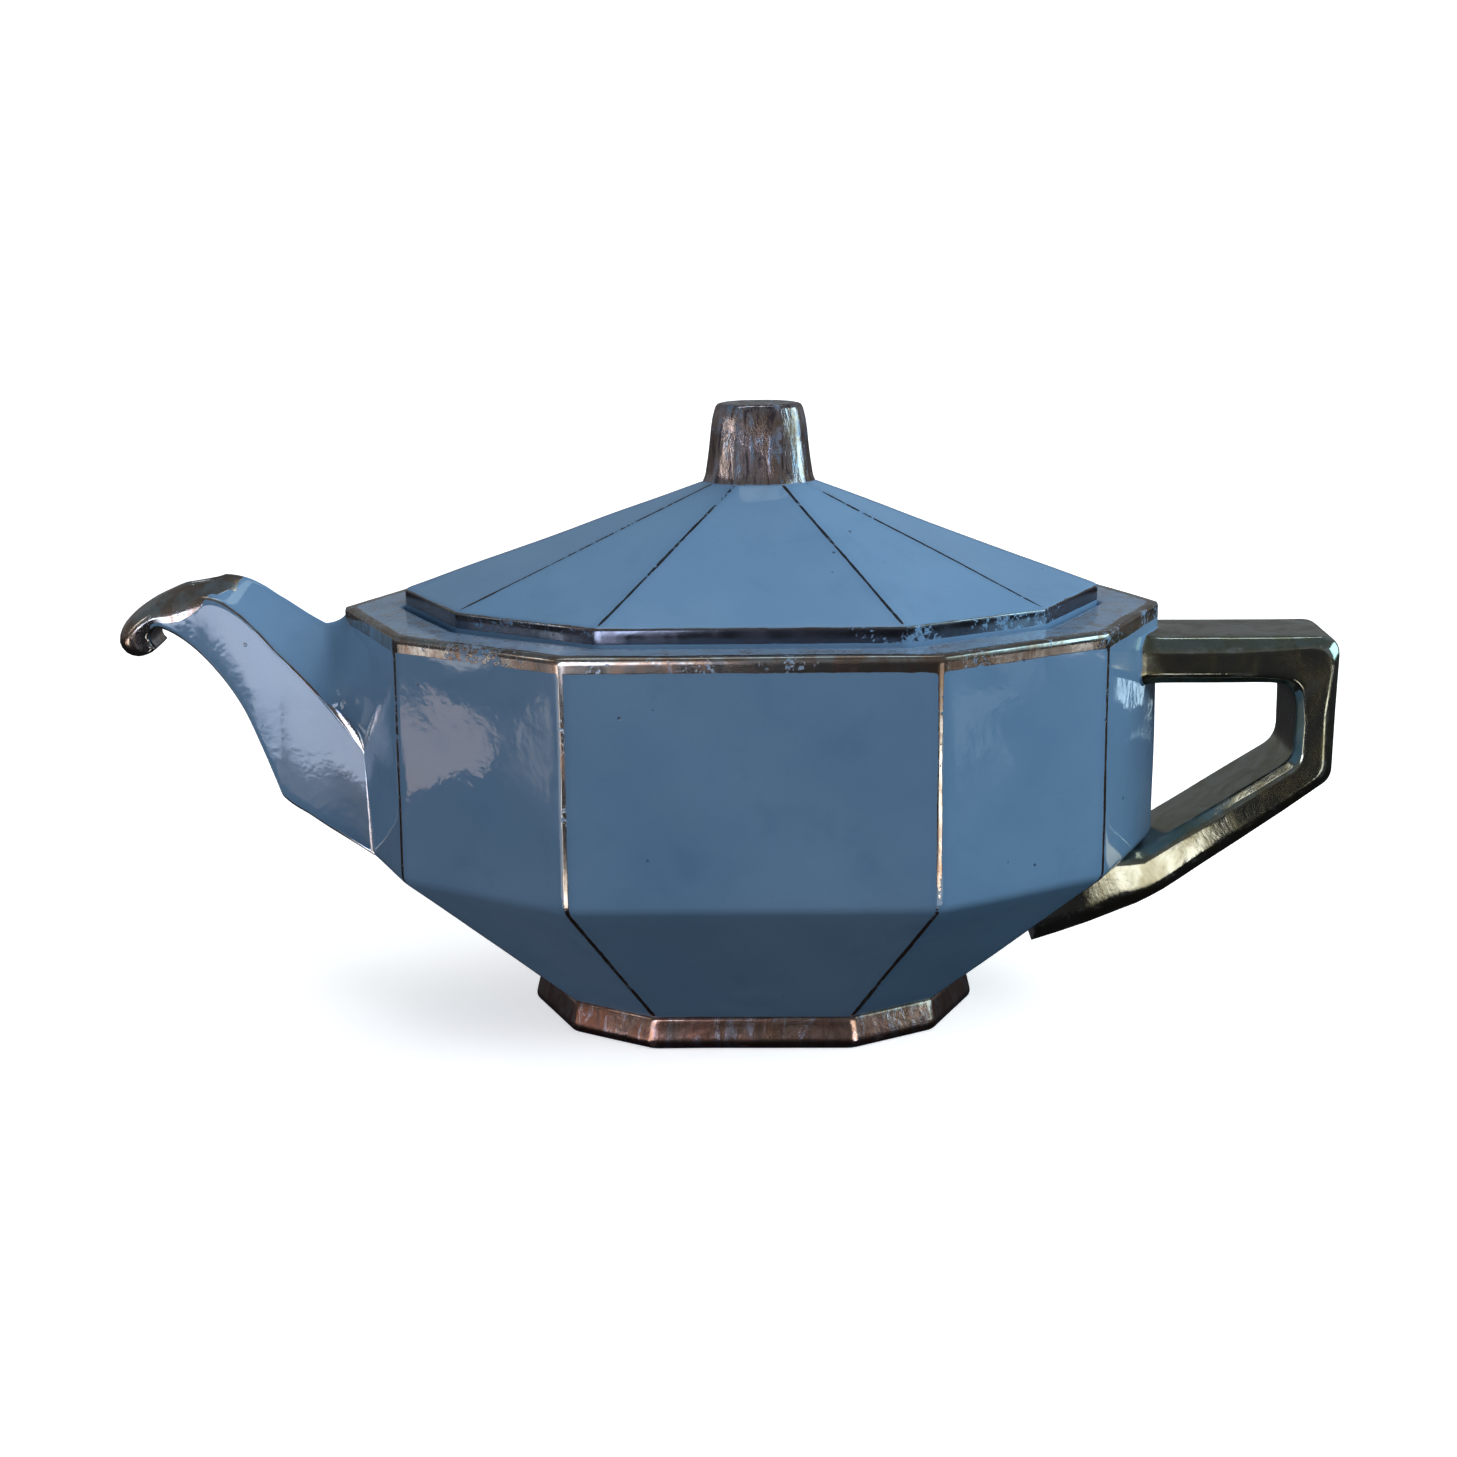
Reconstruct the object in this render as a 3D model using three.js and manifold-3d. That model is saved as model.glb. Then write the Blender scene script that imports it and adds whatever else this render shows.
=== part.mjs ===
// Faceted Art Deco teapot in blue-glazed earthenware with platinum lustre trim.
// Millimetres, +Z up, spout towards -X, handle towards +X, foot standing on z = 0.
// The plan of every level is an elongated ten-sided figure: two corners C on the X axis under the
// spout and the handle, then corners B and A round to the long front and back facets.

import * as THREE from 'three';
import { mergeVertices } from 'three/addons/utils/BufferGeometryUtils.js';
import Module from 'manifold-3d';

const wasm = await Module();
wasm.setup();

// ---------------------------------------------------------------- driving dimensions

// Overall length runs from the spout's curled lip to the handle's grip. The frame's origin is
// under the middle of that length, so the body's own axis stands a little to one side of it.
const LIP_REACH = 140.3;
const HANDLE_REACH = 129;
const BODY_AXIS_X = (LIP_REACH - HANDLE_REACH) / 2;

// Ten-sided plans: corner C on the X axis, corner A at the end of the long facet, B between them.
const BODY_PLAN = { c: 90, bx: 74.5, by: 34, ax: 38, ay: 57 };
const TAPER_FOOT_PLAN = { c: 48.5, bx: 39, by: 21.2, ax: 21.2, ay: 32.4 };
const FOOT_PLAN = { c: 50, bx: 40.2, by: 22.1, ax: 21.9, ay: 33.6 };
const LID_PLAN = { c: 76.5, bx: 61.8, by: 28.5, ax: 31.3, ay: 47 };

const FOOT_HEIGHT = 7.2;
const FOOT_RING_WIDTH = 6;
const FOOT_EDGE_ROUND = 1.6;
const BREAK_HEIGHT = 38.8;
const BAND_HEIGHT = 88.8;
const RIM_HEIGHT = 92;
const WALL = 4.5;
const FLOOR_THICKNESS = 5;
const JOINT_GAP = 0.3;

const SEAT_HEIGHT = 88.5;
const GALLERY_UNDERSIDE = 84.8;
const LID_CLEARANCE = 0.7;
const SEAT_WIDTH = 6;

const LID_EDGE_HEIGHT = 96;
const LID_APEX = { x: 2.3, z: 124 };
const LID_WALL = 4.5;
const LID_BORDER_WIDTH = 12;
const FLANGE_DEPTH = 9;
const FLANGE_THICKNESS = 3.5;

const KNOB_BASE_HEIGHT = 119.2;
const KNOB_TOP_HEIGHT = 136.5;
const KNOB_TOP_SCALE = 0.122;
const KNOB_EDGE_ROUND = 1.6;

const HANDLE_HALF_WIDTH = 12.3;
const HANDLE_BEVEL = 2.6;

const LIP_HALF_WIDTH = 7.6;
const LIP_ROUND = 2.6;
const LIP_ROOT_X = -124;

const STRAINER_HOLE_RADIUS = 2.1;
const STRAINER_ROWS = [53, 60, 67];
const STRAINER_COLUMNS = [-5.2, 0, 5.2];

// ---------------------------------------------------------------- solids

// Turns a closed geometry into a solid that can be joined and cut.
function solid(geometry) {
  const bare = geometry.clone();
  bare.deleteAttribute('normal');
  bare.deleteAttribute('uv');
  const merged = mergeVertices(bare, 1e-4);
  return new wasm.Manifold(new wasm.Mesh({
    numProp: 3,
    vertProperties: new Float32Array(merged.attributes.position.array),
    triVerts: new Uint32Array(merged.index.array),
  }));
}

function geometryOf(manifold) {
  const mesh = manifold.getMesh();
  const geometry = new THREE.BufferGeometry();
  geometry.setAttribute('position', new THREE.BufferAttribute(new Float32Array(mesh.vertProperties), 3));
  geometry.setIndex(new THREE.BufferAttribute(new Uint32Array(mesh.triVerts), 1));
  geometry.computeVertexNormals();
  return geometry;
}

// The signed volume says whether a closed surface faces outwards.
function signedVolume(points, triangles) {
  let total = 0;
  for (const [i, j, k] of triangles) {
    total += points[i].dot(new THREE.Vector3().crossVectors(points[j], points[k])) / 6;
  }
  return total;
}

// A closed loft through rings of the same number of points, capped flat at both ends.
function loft(rings) {
  const count = rings[0].length;
  const points = rings.flat();
  const triangles = [];
  for (let r = 0; r < rings.length - 1; r++) {
    for (let i = 0; i < count; i++) {
      const a = r * count + i;
      const b = r * count + (i + 1) % count;
      triangles.push([a, b, b + count], [a, b + count, a + count]);
    }
  }
  const last = (rings.length - 1) * count;
  for (let i = 1; i < count - 1; i++) {
    triangles.push([0, i + 1, i], [last, last + i, last + i + 1]);
  }
  if (signedVolume(points, triangles) < 0) {
    triangles.forEach((triangle) => triangle.reverse());
  }
  const geometry = new THREE.BufferGeometry().setFromPoints(points);
  geometry.setIndex(triangles.flat());
  return geometry;
}

// ---------------------------------------------------------------- ten-sided plans

// Corners of a plan, anticlockwise from the handle's end.
function corners({ c, bx, by, ax, ay }) {
  const quarter = [[bx, by], [ax, ay]];
  const half = [...quarter, ...quarter.map(([x, y]) => [-x, y]).reverse()];
  const far = half.map(([x, y]) => [-x, -y]);
  return [[c, 0], ...half, [-c, 0], ...far].map(([x, y]) => new THREE.Vector2(x, y));
}

// Moves every side of a convex plan inwards by a distance; a negative distance moves it outwards.
function inset(plan, distance) {
  const count = plan.length;
  const sides = plan.map((from, i) => {
    const along = plan[(i + 1) % count].clone().sub(from).normalize();
    const inward = new THREE.Vector2(-along.y, along.x);
    return { from: from.clone().addScaledVector(inward, distance), along };
  });
  return sides.map((side, i) => {
    const before = sides[(i + count - 1) % count];
    const step = side.from.clone().sub(before.from).cross(side.along) / before.along.cross(side.along);
    return before.from.clone().addScaledVector(before.along, step);
  });
}

const ring = (plan, z) => plan.map((p) => new THREE.Vector3(p.x, p.y, z));

const prism = (plan, low, high) => loft([ring(plan, low), ring(plan, high)]);

// A ring of the lid's roof, drawn in towards the apex.
function roofRing(plan, scale, z) {
  return plan.map((p) => new THREE.Vector3(LID_APEX.x + (p.x - LID_APEX.x) * scale, p.y * scale, z));
}

const bodyPlan = corners(BODY_PLAN);
const taperFootPlan = corners(TAPER_FOOT_PLAN);
const footPlan = corners(FOOT_PLAN);
const lidPlan = corners(LID_PLAN);
const recessPlan = inset(lidPlan, -LID_CLEARANCE);
const mouthPlan = inset(lidPlan, SEAT_WIDTH);

// The pot's outer shape grown outwards a little: it trims whatever is luted on to the walls.
function bodyEnvelope(growth) {
  const taperFoot = inset(taperFootPlan, -growth);
  const walls = inset(bodyPlan, -growth);
  return solid(loft([
    ring(taperFoot, FOOT_HEIGHT - growth),
    ring(walls, BREAK_HEIGHT - growth / 3),
    ring(walls, RIM_HEIGHT + growth),
  ]));
}

// ---------------------------------------------------------------- the pot

function bodyShell() {
  const outer = solid(loft([
    ring(taperFootPlan, FOOT_HEIGHT + JOINT_GAP),
    ring(bodyPlan, BREAK_HEIGHT),
    ring(bodyPlan, BAND_HEIGHT - JOINT_GAP),
  ]));
  const inner = solid(loft([
    ring(inset(taperFootPlan, WALL), FOOT_HEIGHT + FLOOR_THICKNESS),
    ring(inset(bodyPlan, WALL), BREAK_HEIGHT + 1.5),
    ring(inset(bodyPlan, WALL), BAND_HEIGHT + 1),
  ]));
  let shell = outer.subtract(inner);
  for (const z of STRAINER_ROWS) {
    for (const y of STRAINER_COLUMNS) {
      const drill = new THREE.CylinderGeometry(STRAINER_HOLE_RADIUS, STRAINER_HOLE_RADIUS, 24, 12);
      drill.rotateZ(Math.PI / 2).translate(-BODY_PLAN.c + 4, y, z);
      shell = shell.subtract(solid(drill));
    }
  }
  return geometryOf(shell);
}

function galleryRim() {
  const band = solid(prism(bodyPlan, BAND_HEIGHT, RIM_HEIGHT));
  const shelf = solid(prism(inset(bodyPlan, WALL + JOINT_GAP), GALLERY_UNDERSIDE, BAND_HEIGHT + 0.2));
  const recess = solid(prism(recessPlan, SEAT_HEIGHT, RIM_HEIGHT + 1));
  const mouth = solid(prism(mouthPlan, GALLERY_UNDERSIDE - 1, RIM_HEIGHT + 1));
  return geometryOf(band.add(shelf).subtract(recess).subtract(mouth));
}

function footRing() {
  const outer = solid(loft([
    ring(inset(footPlan, FOOT_EDGE_ROUND * 0.6), 0),
    ring(footPlan, FOOT_EDGE_ROUND),
    ring(inset(footPlan, 0.5), FOOT_HEIGHT * 0.6),
    ring(taperFootPlan, FOOT_HEIGHT),
  ]));
  const hollow = solid(prism(inset(taperFootPlan, FOOT_RING_WIDTH), -1, FOOT_HEIGHT + 1));
  return geometryOf(outer.subtract(hollow));
}

// ---------------------------------------------------------------- the spout

// Upright sections from the wall outwards: the top ridge, the upper edge on each side, and the
// lower edge on each side. The roof-like top is steep at the pot and flattens towards the mouth.
const SPOUT_SECTIONS = [
  { x: -82, ridge: 80, edge: [9, 58], base: [13.6, 37.8] },
  { x: -92, ridge: 86.5, edge: [9.6, 70.8], base: [12.9, 44.4] },
  { x: -103, ridge: 93.4, edge: [9.7, 83], base: [12, 51.8] },
  { x: -107.5, ridge: 96.4, edge: [9.4, 87.8], base: [11, 62.4] },
  { x: -112, ridge: 98.9, edge: [9, 92], base: [10, 71.6] },
  { x: -118, ridge: 99.1, edge: [8.4, 96.4], base: [8.8, 80] },
  { x: LIP_ROOT_X, ridge: 97.7, edge: [7.8, 96.6], base: [7.6, 86] },
];

// Rectangular sections of the bore; from the fifth one on it breaks out through the top.
const BORE_SECTIONS = [
  { x: -80, half: 7.4, low: 48, high: 71 },
  { x: -92, half: 6.8, low: 53, high: 76 },
  { x: -103, half: 6.2, low: 63, high: 83 },
  { x: -112, half: 5.4, low: 78, high: 90 },
  { x: -118, half: 5, low: 87.5, high: 106 },
  { x: -126, half: 5, low: 92, high: 106 },
];

function spout() {
  const outer = solid(loft(SPOUT_SECTIONS.map(({ x, ridge, edge, base }) => [
    new THREE.Vector3(x, 0, ridge),
    new THREE.Vector3(x, edge[0], edge[1]),
    new THREE.Vector3(x, base[0], base[1]),
    new THREE.Vector3(x, -base[0], base[1]),
    new THREE.Vector3(x, -edge[0], edge[1]),
  ])));
  const bore = solid(loft(BORE_SECTIONS.map(({ x, half, low, high }) => [
    new THREE.Vector3(x, -half, low),
    new THREE.Vector3(x, half, low),
    new THREE.Vector3(x, half, high),
    new THREE.Vector3(x, -half, high),
  ])));
  return geometryOf(outer.subtract(bore).subtract(bodyEnvelope(JOINT_GAP)));
}

// Extrudes an outline drawn in the XZ plane to both sides of y = 0, with bevelled edges.
function sideways(shape, halfWidth, bevel, bevelSegments) {
  const geometry = new THREE.ExtrudeGeometry(shape, {
    depth: 2 * (halfWidth - bevel),
    curveSegments: 6,
    bevelEnabled: true,
    bevelSize: bevel,
    bevelThickness: bevel,
    bevelOffset: -bevel,
    bevelSegments,
  });
  return geometry.rotateX(Math.PI / 2).translate(0, halfWidth - bevel, 0);
}

function spoutLip() {
  const curl = new THREE.Shape();
  const root = LIP_ROOT_X - JOINT_GAP;
  curl.moveTo(root, 97.5);
  curl.quadraticCurveTo(-134.2, 94.6, -138.7, 89.3);
  curl.quadraticCurveTo(-142, 84.4, -138.4, 82);
  curl.quadraticCurveTo(-134.6, 80.4, -131.8, 83.4);
  curl.quadraticCurveTo(-131, 87.2, -129.4, 88);
  curl.lineTo(root, 86.1);
  curl.closePath();
  const groove = new THREE.BoxGeometry(8, 6.4, 8).translate(root - 2, 0, 97.4);
  const tongue = solid(sideways(curl, LIP_HALF_WIDTH, LIP_ROUND, 2));
  return geometryOf(tongue.subtract(solid(groove)));
}

// ---------------------------------------------------------------- the handle

// A squared loop: a level top bar, an upright grip and a strut that slants back under the wall
// and dies away along the taper's end ridge.
function handle() {
  const profile = new THREE.Shape();
  profile.moveTo(70, 85.5);
  profile.lineTo(123.6, 85.5);
  profile.quadraticCurveTo(HANDLE_REACH, 85.3, HANDLE_REACH, 79.6);
  profile.lineTo(128.4, 57);
  profile.quadraticCurveTo(128.3, 54.6, 126.2, 53.1);
  profile.lineTo(94, 30.6);
  profile.quadraticCurveTo(88.5, 26.6, 82, 24);
  profile.lineTo(66, 18.6);
  profile.lineTo(58, 22);
  profile.lineTo(70, 42);
  profile.lineTo(91.5, 41.6);
  profile.lineTo(116, 57);
  profile.quadraticCurveTo(118.6, 58.8, 118.8, 62);
  profile.lineTo(118.8, 69.6);
  profile.quadraticCurveTo(118.4, 75.3, 112.8, 75.6);
  profile.lineTo(70, 75.6);
  profile.closePath();
  const loop = solid(sideways(profile, HANDLE_HALF_WIDTH, HANDLE_BEVEL, 1));
  return geometryOf(loop.subtract(bodyEnvelope(JOINT_GAP)));
}

// ---------------------------------------------------------------- the lid

const lidBottom = SEAT_HEIGHT + JOINT_GAP;
const roofRise = LID_APEX.z - LID_EDGE_HEIGHT;
const roofTopScale = (LID_APEX.z - KNOB_BASE_HEIGHT) / roofRise;

function lidCover() {
  const outer = solid(loft([
    ring(lidPlan, lidBottom),
    ring(lidPlan, LID_EDGE_HEIGHT),
    roofRing(lidPlan, roofTopScale, KNOB_BASE_HEIGHT),
  ]));
  const ceiling = inset(lidPlan, LID_BORDER_WIDTH);
  const inner = solid(loft([
    ring(ceiling, lidBottom - 1),
    ring(ceiling, LID_EDGE_HEIGHT),
    roofRing(ceiling, roofTopScale, KNOB_BASE_HEIGHT - LID_WALL - 1.5),
  ]));
  return geometryOf(outer.subtract(inner));
}

function lidFlange() {
  const outside = inset(mouthPlan, 0.9);
  const collar = solid(prism(outside, SEAT_HEIGHT - FLANGE_DEPTH, lidBottom - JOINT_GAP));
  const hollow = solid(prism(inset(outside, FLANGE_THICKNESS), SEAT_HEIGHT - FLANGE_DEPTH - 1, RIM_HEIGHT));
  return geometryOf(collar.subtract(hollow));
}

function lidKnob() {
  const shoulder = KNOB_TOP_SCALE + 0.018;
  return loft([
    roofRing(lidPlan, roofTopScale - 0.004, KNOB_BASE_HEIGHT + JOINT_GAP),
    roofRing(lidPlan, shoulder, KNOB_TOP_HEIGHT - KNOB_EDGE_ROUND),
    roofRing(lidPlan, KNOB_TOP_SCALE, KNOB_TOP_HEIGHT),
  ]);
}

// ---------------------------------------------------------------- materials and assembly

const blueGlaze = () => new THREE.MeshStandardMaterial({ color: 0x53789a, roughness: 0.12, metalness: 0 });
const lustre = () => new THREE.MeshStandardMaterial({ color: 0x8d8780, roughness: 0.14, metalness: 1 });
const bareGlaze = () => new THREE.MeshStandardMaterial({ color: 0x4a6d8c, roughness: 0.18, metalness: 0 });

const teapot = new THREE.Group();
teapot.position.x = BODY_AXIS_X;

function place(parent, name, geometry, material) {
  const mesh = new THREE.Mesh(geometry, material);
  mesh.name = name;
  parent.add(mesh);
}

const pot = new THREE.Group();
place(pot, 'body_shell', bodyShell(), blueGlaze());
place(pot, 'gallery_rim', galleryRim(), blueGlaze());
place(pot, 'foot_ring', footRing(), lustre());
place(pot, 'spout', spout(), blueGlaze());
place(pot, 'spout_lip', spoutLip(), lustre());
place(pot, 'handle', handle(), lustre());

const lid = new THREE.Group();
place(lid, 'lid_cover', lidCover(), blueGlaze());
place(lid, 'lid_flange', lidFlange(), bareGlaze());
place(lid, 'lid_knob', lidKnob(), lustre());

teapot.add(pot, lid);

export default teapot;
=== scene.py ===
import math

import bmesh
import bpy
import numpy as np
from mathutils import Matrix, Vector


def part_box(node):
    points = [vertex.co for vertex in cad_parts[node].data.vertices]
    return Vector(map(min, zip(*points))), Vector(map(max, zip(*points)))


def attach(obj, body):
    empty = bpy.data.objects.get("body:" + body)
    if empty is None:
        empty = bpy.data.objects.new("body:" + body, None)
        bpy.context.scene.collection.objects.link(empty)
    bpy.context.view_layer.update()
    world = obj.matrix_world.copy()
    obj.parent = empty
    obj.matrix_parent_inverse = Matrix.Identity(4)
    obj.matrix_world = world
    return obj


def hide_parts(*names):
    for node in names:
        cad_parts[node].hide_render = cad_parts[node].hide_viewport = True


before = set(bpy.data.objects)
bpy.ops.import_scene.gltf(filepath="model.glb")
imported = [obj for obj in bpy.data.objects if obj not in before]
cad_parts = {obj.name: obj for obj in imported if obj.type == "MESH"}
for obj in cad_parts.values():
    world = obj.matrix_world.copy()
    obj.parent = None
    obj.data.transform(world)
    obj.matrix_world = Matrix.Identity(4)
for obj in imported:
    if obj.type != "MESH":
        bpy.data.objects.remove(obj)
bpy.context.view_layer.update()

# ---- units and driving dimensions
#
# Shapes are worked out in millimetres about the pot's own upright axis, and turned into the
# frame's metres when a mesh is made.

MM = 0.001


def mm_box(node):
    low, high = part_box(node)
    return np.array(low) / MM, np.array(high) / MM


shell_low, shell_high = mm_box("body_shell")
rim_low, rim_high = mm_box("gallery_rim")
knob_low, knob_high = mm_box("lid_knob")

AXIS_X = (shell_low[0] + shell_high[0]) / 2
HALF_LENGTH = (shell_high[0] - shell_low[0]) / 2
HALF_DEPTH = (shell_high[1] - shell_low[1]) / 2
RIM_Z = rim_high[2]
GALLERY_Z = rim_low[2]
SEAT_Z = mm_box("lid_cover")[0][2]
FLANGE_Z = mm_box("lid_flange")[0][2]
FOOT_Z = mm_box("foot_ring")[1][2]
KNOB_BASE_Z = knob_low[2]
KNOB_TOP_Z = knob_high[2]

# Heights and thicknesses that the frame's boxes don't give.
BREAK_Z = 38.8
BAND_DEPTH = 3.3
BAND_Z = RIM_Z - BAND_DEPTH
WALL = 4.5
FLOOR_Z = FOOT_Z + 5
LID_EDGE_Z = 96.0
LID_BAND = 3.1
APEX_Z = 124.0
APEX = np.array([2.3, 0.0])

# Ten-sided plans: corner C on the X axis, corner A at the end of the long facet, B between them.
# Each is the C corner's x, the B corner's x and y, and the A corner's x and y.
BODY_PLAN = (HALF_LENGTH, 74.5, 34.0, 38.0, HALF_DEPTH)
TAPER_PLAN = (48.5, 39.0, 21.2, 21.2, 32.4)
FOOT_PLAN = (50.0, 40.2, 22.1, 21.9, 33.6)
LID_PLAN = (76.5, 61.8, 28.5, 31.3, 47.0)
MOUTH_INSET = 6.0
RECESS_GAP = 0.7

# Half widths of the painted lines at corners A and B and on the lid's ridges, and the distance
# from lustre that stands for none nearby.
A_LINE = 0.52
B_LINE = 0.42
RIDGE_LINE = 0.34
NO_LUSTRE = 40.0

# ---- plans and levels


def corners(c, bx, by, ax, ay):
    """The ten corners of a plan, anticlockwise from the handle's end."""
    half = [(bx, by), (ax, ay), (-ax, ay), (-bx, by)]
    far = [(-x, -y) for x, y in half]
    return np.array([(c, 0), *half, (-c, 0), *far], float)


def inset(plan, distance):
    """Moves every side of a convex plan inwards."""
    along = np.roll(plan, -1, axis=0) - plan
    along /= np.linalg.norm(along, axis=1)[:, None]
    inward = np.stack([-along[:, 1], along[:, 0]], axis=1)
    start = plan + inward * distance
    before, before_along = np.roll(start, 1, axis=0), np.roll(along, 1, axis=0)
    gap = start - before
    cross = before_along[:, 0] * along[:, 1] - before_along[:, 1] * along[:, 0]
    step = (gap[:, 0] * along[:, 1] - gap[:, 1] * along[:, 0]) / cross
    return before + before_along * step[:, None]


def towards_apex(plan, scale):
    return APEX + (plan - APEX) * scale


def level(plan, z, round_to=0.0, radius=1.2, band=NO_LUSTRE, line=NO_LUSTRE):
    """One control level of a faceted wall.

    round_to: how far the profile's corner is rounded here. radius: the plan's corner radius.
    band: signed distance to a lustred band, negative inside it. line: distance added to that of
    the painted corner lines, 0 where they run."""
    return {"round": round_to, "row": np.concatenate([plan.ravel(), [z, radius, band, line]])}


def profile(levels, arc_steps=5, longest=4.0):
    """Rounds the corners of a list of control levels and divides its long spans."""
    rows = [item["row"] for item in levels]
    # A level's place in the front wall's upright section stands for its place in the profile.
    front = [np.array([row[5], row[20]]) for row in rows]
    out = [rows[0]]
    for k in range(1, len(rows)):
        if k < len(rows) - 1 and levels[k]["round"] > 0:
            back = min(levels[k]["round"] / max(np.linalg.norm(front[k] - front[k - 1]), 1e-6), 0.48)
            ahead = min(levels[k]["round"] / max(np.linalg.norm(front[k + 1] - front[k]), 1e-6), 0.48)
            first = rows[k] + (rows[k - 1] - rows[k]) * back
            last = rows[k] + (rows[k + 1] - rows[k]) * ahead
            turn = [
                (1 - t) ** 2 * first + 2 * t * (1 - t) * rows[k] + t * t * last
                for t in np.linspace(0, 1, arc_steps + 1)
            ]
        else:
            turn = [rows[k]]
        gap = np.hypot(turn[0][5] - out[-1][5], turn[0][20] - out[-1][20])
        parts = max(1, math.ceil(gap / longest))
        start = out[-1]
        out += [start + (turn[0] - start) * i / parts for i in range(1, parts)]
        out += turn
    return out


def rounded(points, radii, arc_steps=6, side_steps=10, closed=True):
    """A closed plan with round corners.

    Returns the points, and for each one its nearest corner and its distance from it."""
    count = len(points)
    starts, ends = [], []
    for i in range(count):
        before, after = points[i - 1], points[(i + 1) % count]
        for other, kept in ((before, starts), (after, ends)):
            span = np.linalg.norm(other - points[i])
            kept.append(points[i] + (other - points[i]) * min(radii[i] / max(span, 1e-6), 0.45))
    out, nearest, away = [], [], []
    for i in range(count):
        arc = [
            (1 - t) ** 2 * starts[i] + 2 * t * (1 - t) * points[i] + t * t * ends[i]
            for t in np.linspace(0, 1, arc_steps + 1)
        ]
        half = sum(np.linalg.norm(b - a) for a, b in zip(arc, arc[1:])) / 2
        gone = 0.0
        for j, p in enumerate(arc):
            gone += np.linalg.norm(p - arc[j - 1]) if j else 0.0
            out.append(p)
            nearest.append(i)
            away.append(abs(gone - half))
        reach = starts[(i + 1) % count]
        side = np.linalg.norm(reach - ends[i])
        for s in range(1, side_steps):
            share = s / side_steps
            out.append(ends[i] + (reach - ends[i]) * share)
            closer = share <= 0.5
            nearest.append(i if closer else (i + 1) % count)
            away.append(half + side * (share if closer else 1 - share))
    return np.array(out), np.array(nearest), np.array(away)


# ---- meshes

# Keeps the uneven walls inside the pot's measured depth.
DEPTH_TRIM = 0.997


def waviness(points):
    """A slow unevenness of hand-finished clay: a sum of a few long waves, in millimetres."""
    waves = (
        ((0.061, 0.023, 0.044), 0.5, 0.055),
        ((-0.034, 0.071, 0.052), 2.1, 0.05),
        ((0.083, -0.047, 0.091), 4.0, 0.032),
        ((0.027, 0.096, -0.118), 5.2, 0.024),
        ((0.151, 0.088, 0.067), 1.3, 0.014),
    )
    total = np.zeros(len(points))
    for direction, phase, height in waves:
        total += height * np.sin(points @ np.array(direction) * 2.2 + phase)
    return total


def grid_faces(rings, count, closed_path=False):
    faces = []
    for r in range(rings if closed_path else rings - 1):
        following = (r + 1) % rings
        for i in range(count):
            j = (i + 1) % count
            faces.append((r * count + i, r * count + j, following * count + j, following * count + i))
    return faces


def capped_faces(rings, count):
    """The faces of a skin of rings with a flat cap at each end."""
    return [*grid_faces(rings, count), tuple(range(count)), tuple(range((rings - 1) * count, rings * count))]


def skin_normals(points, faces):
    """The normals of a skin of quads at its points, leaving out the flat ends."""
    quads = np.array([face for face in faces if len(face) == 4])
    a, b, c, d = (points[quads[:, k]] for k in range(4))
    across = np.cross(c - a, d - b)
    normals = np.zeros_like(points)
    for k in range(4):
        np.add.at(normals, quads[:, k], across)
    return normals / np.maximum(np.linalg.norm(normals, axis=1), 1e-9)[:, None]


def put_in_scene(name, data):
    thing = bpy.data.objects.new(name, data)
    bpy.context.scene.collection.objects.link(thing)
    return thing


def sharpen_caps(mesh, most_corners=4):
    """Keeps the shading of a skin apart from that of the flat faces that close it."""
    caps = {key for face in mesh.polygons if len(face.vertices) > most_corners for key in face.edge_keys}
    for edge in mesh.edges:
        edge.use_edge_sharp = edge.key in caps


def make_object(name, points, faces, lustre=None, edge=None, wave=1.0):
    """A smooth mesh object from points in millimetres about the pot's axis."""
    points = np.asarray(points, float)
    mesh = bpy.data.meshes.new(name)
    mesh.from_pydata(points.tolist(), [], faces)
    bm = bmesh.new()
    bm.from_mesh(mesh)
    bmesh.ops.recalc_face_normals(bm, faces=bm.faces)
    bm.to_mesh(mesh)
    bm.free()
    if wave:
        outward = np.empty(len(points) * 3, np.float32)
        mesh.vertices.foreach_get("normal", outward)
        normals = skin_normals(points, faces)
        if (normals * outward.reshape(-1, 3)).sum() < 0:
            normals = -normals
        points = points + normals * (wave * waviness(points))[:, None]
    points = (points * np.array([1, DEPTH_TRIM, 1]) + np.array([AXIS_X, 0, 0])) * MM
    points[:, 2] = np.maximum(points[:, 2], 0)
    mesh.vertices.foreach_set("co", points.astype(np.float32).ravel())
    for label, values in (("lustre_edge", lustre), ("edge_gap", edge)):
        if values is not None:
            layer = mesh.attributes.new(label, "FLOAT", "POINT")
            layer.data.foreach_set("value", np.asarray(values, np.float32))
    mesh.polygons.foreach_set("use_smooth", [len(face) <= 4 for face in faces])
    sharpen_caps(mesh)
    mesh.update()
    return put_in_scene(name, mesh)


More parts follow.
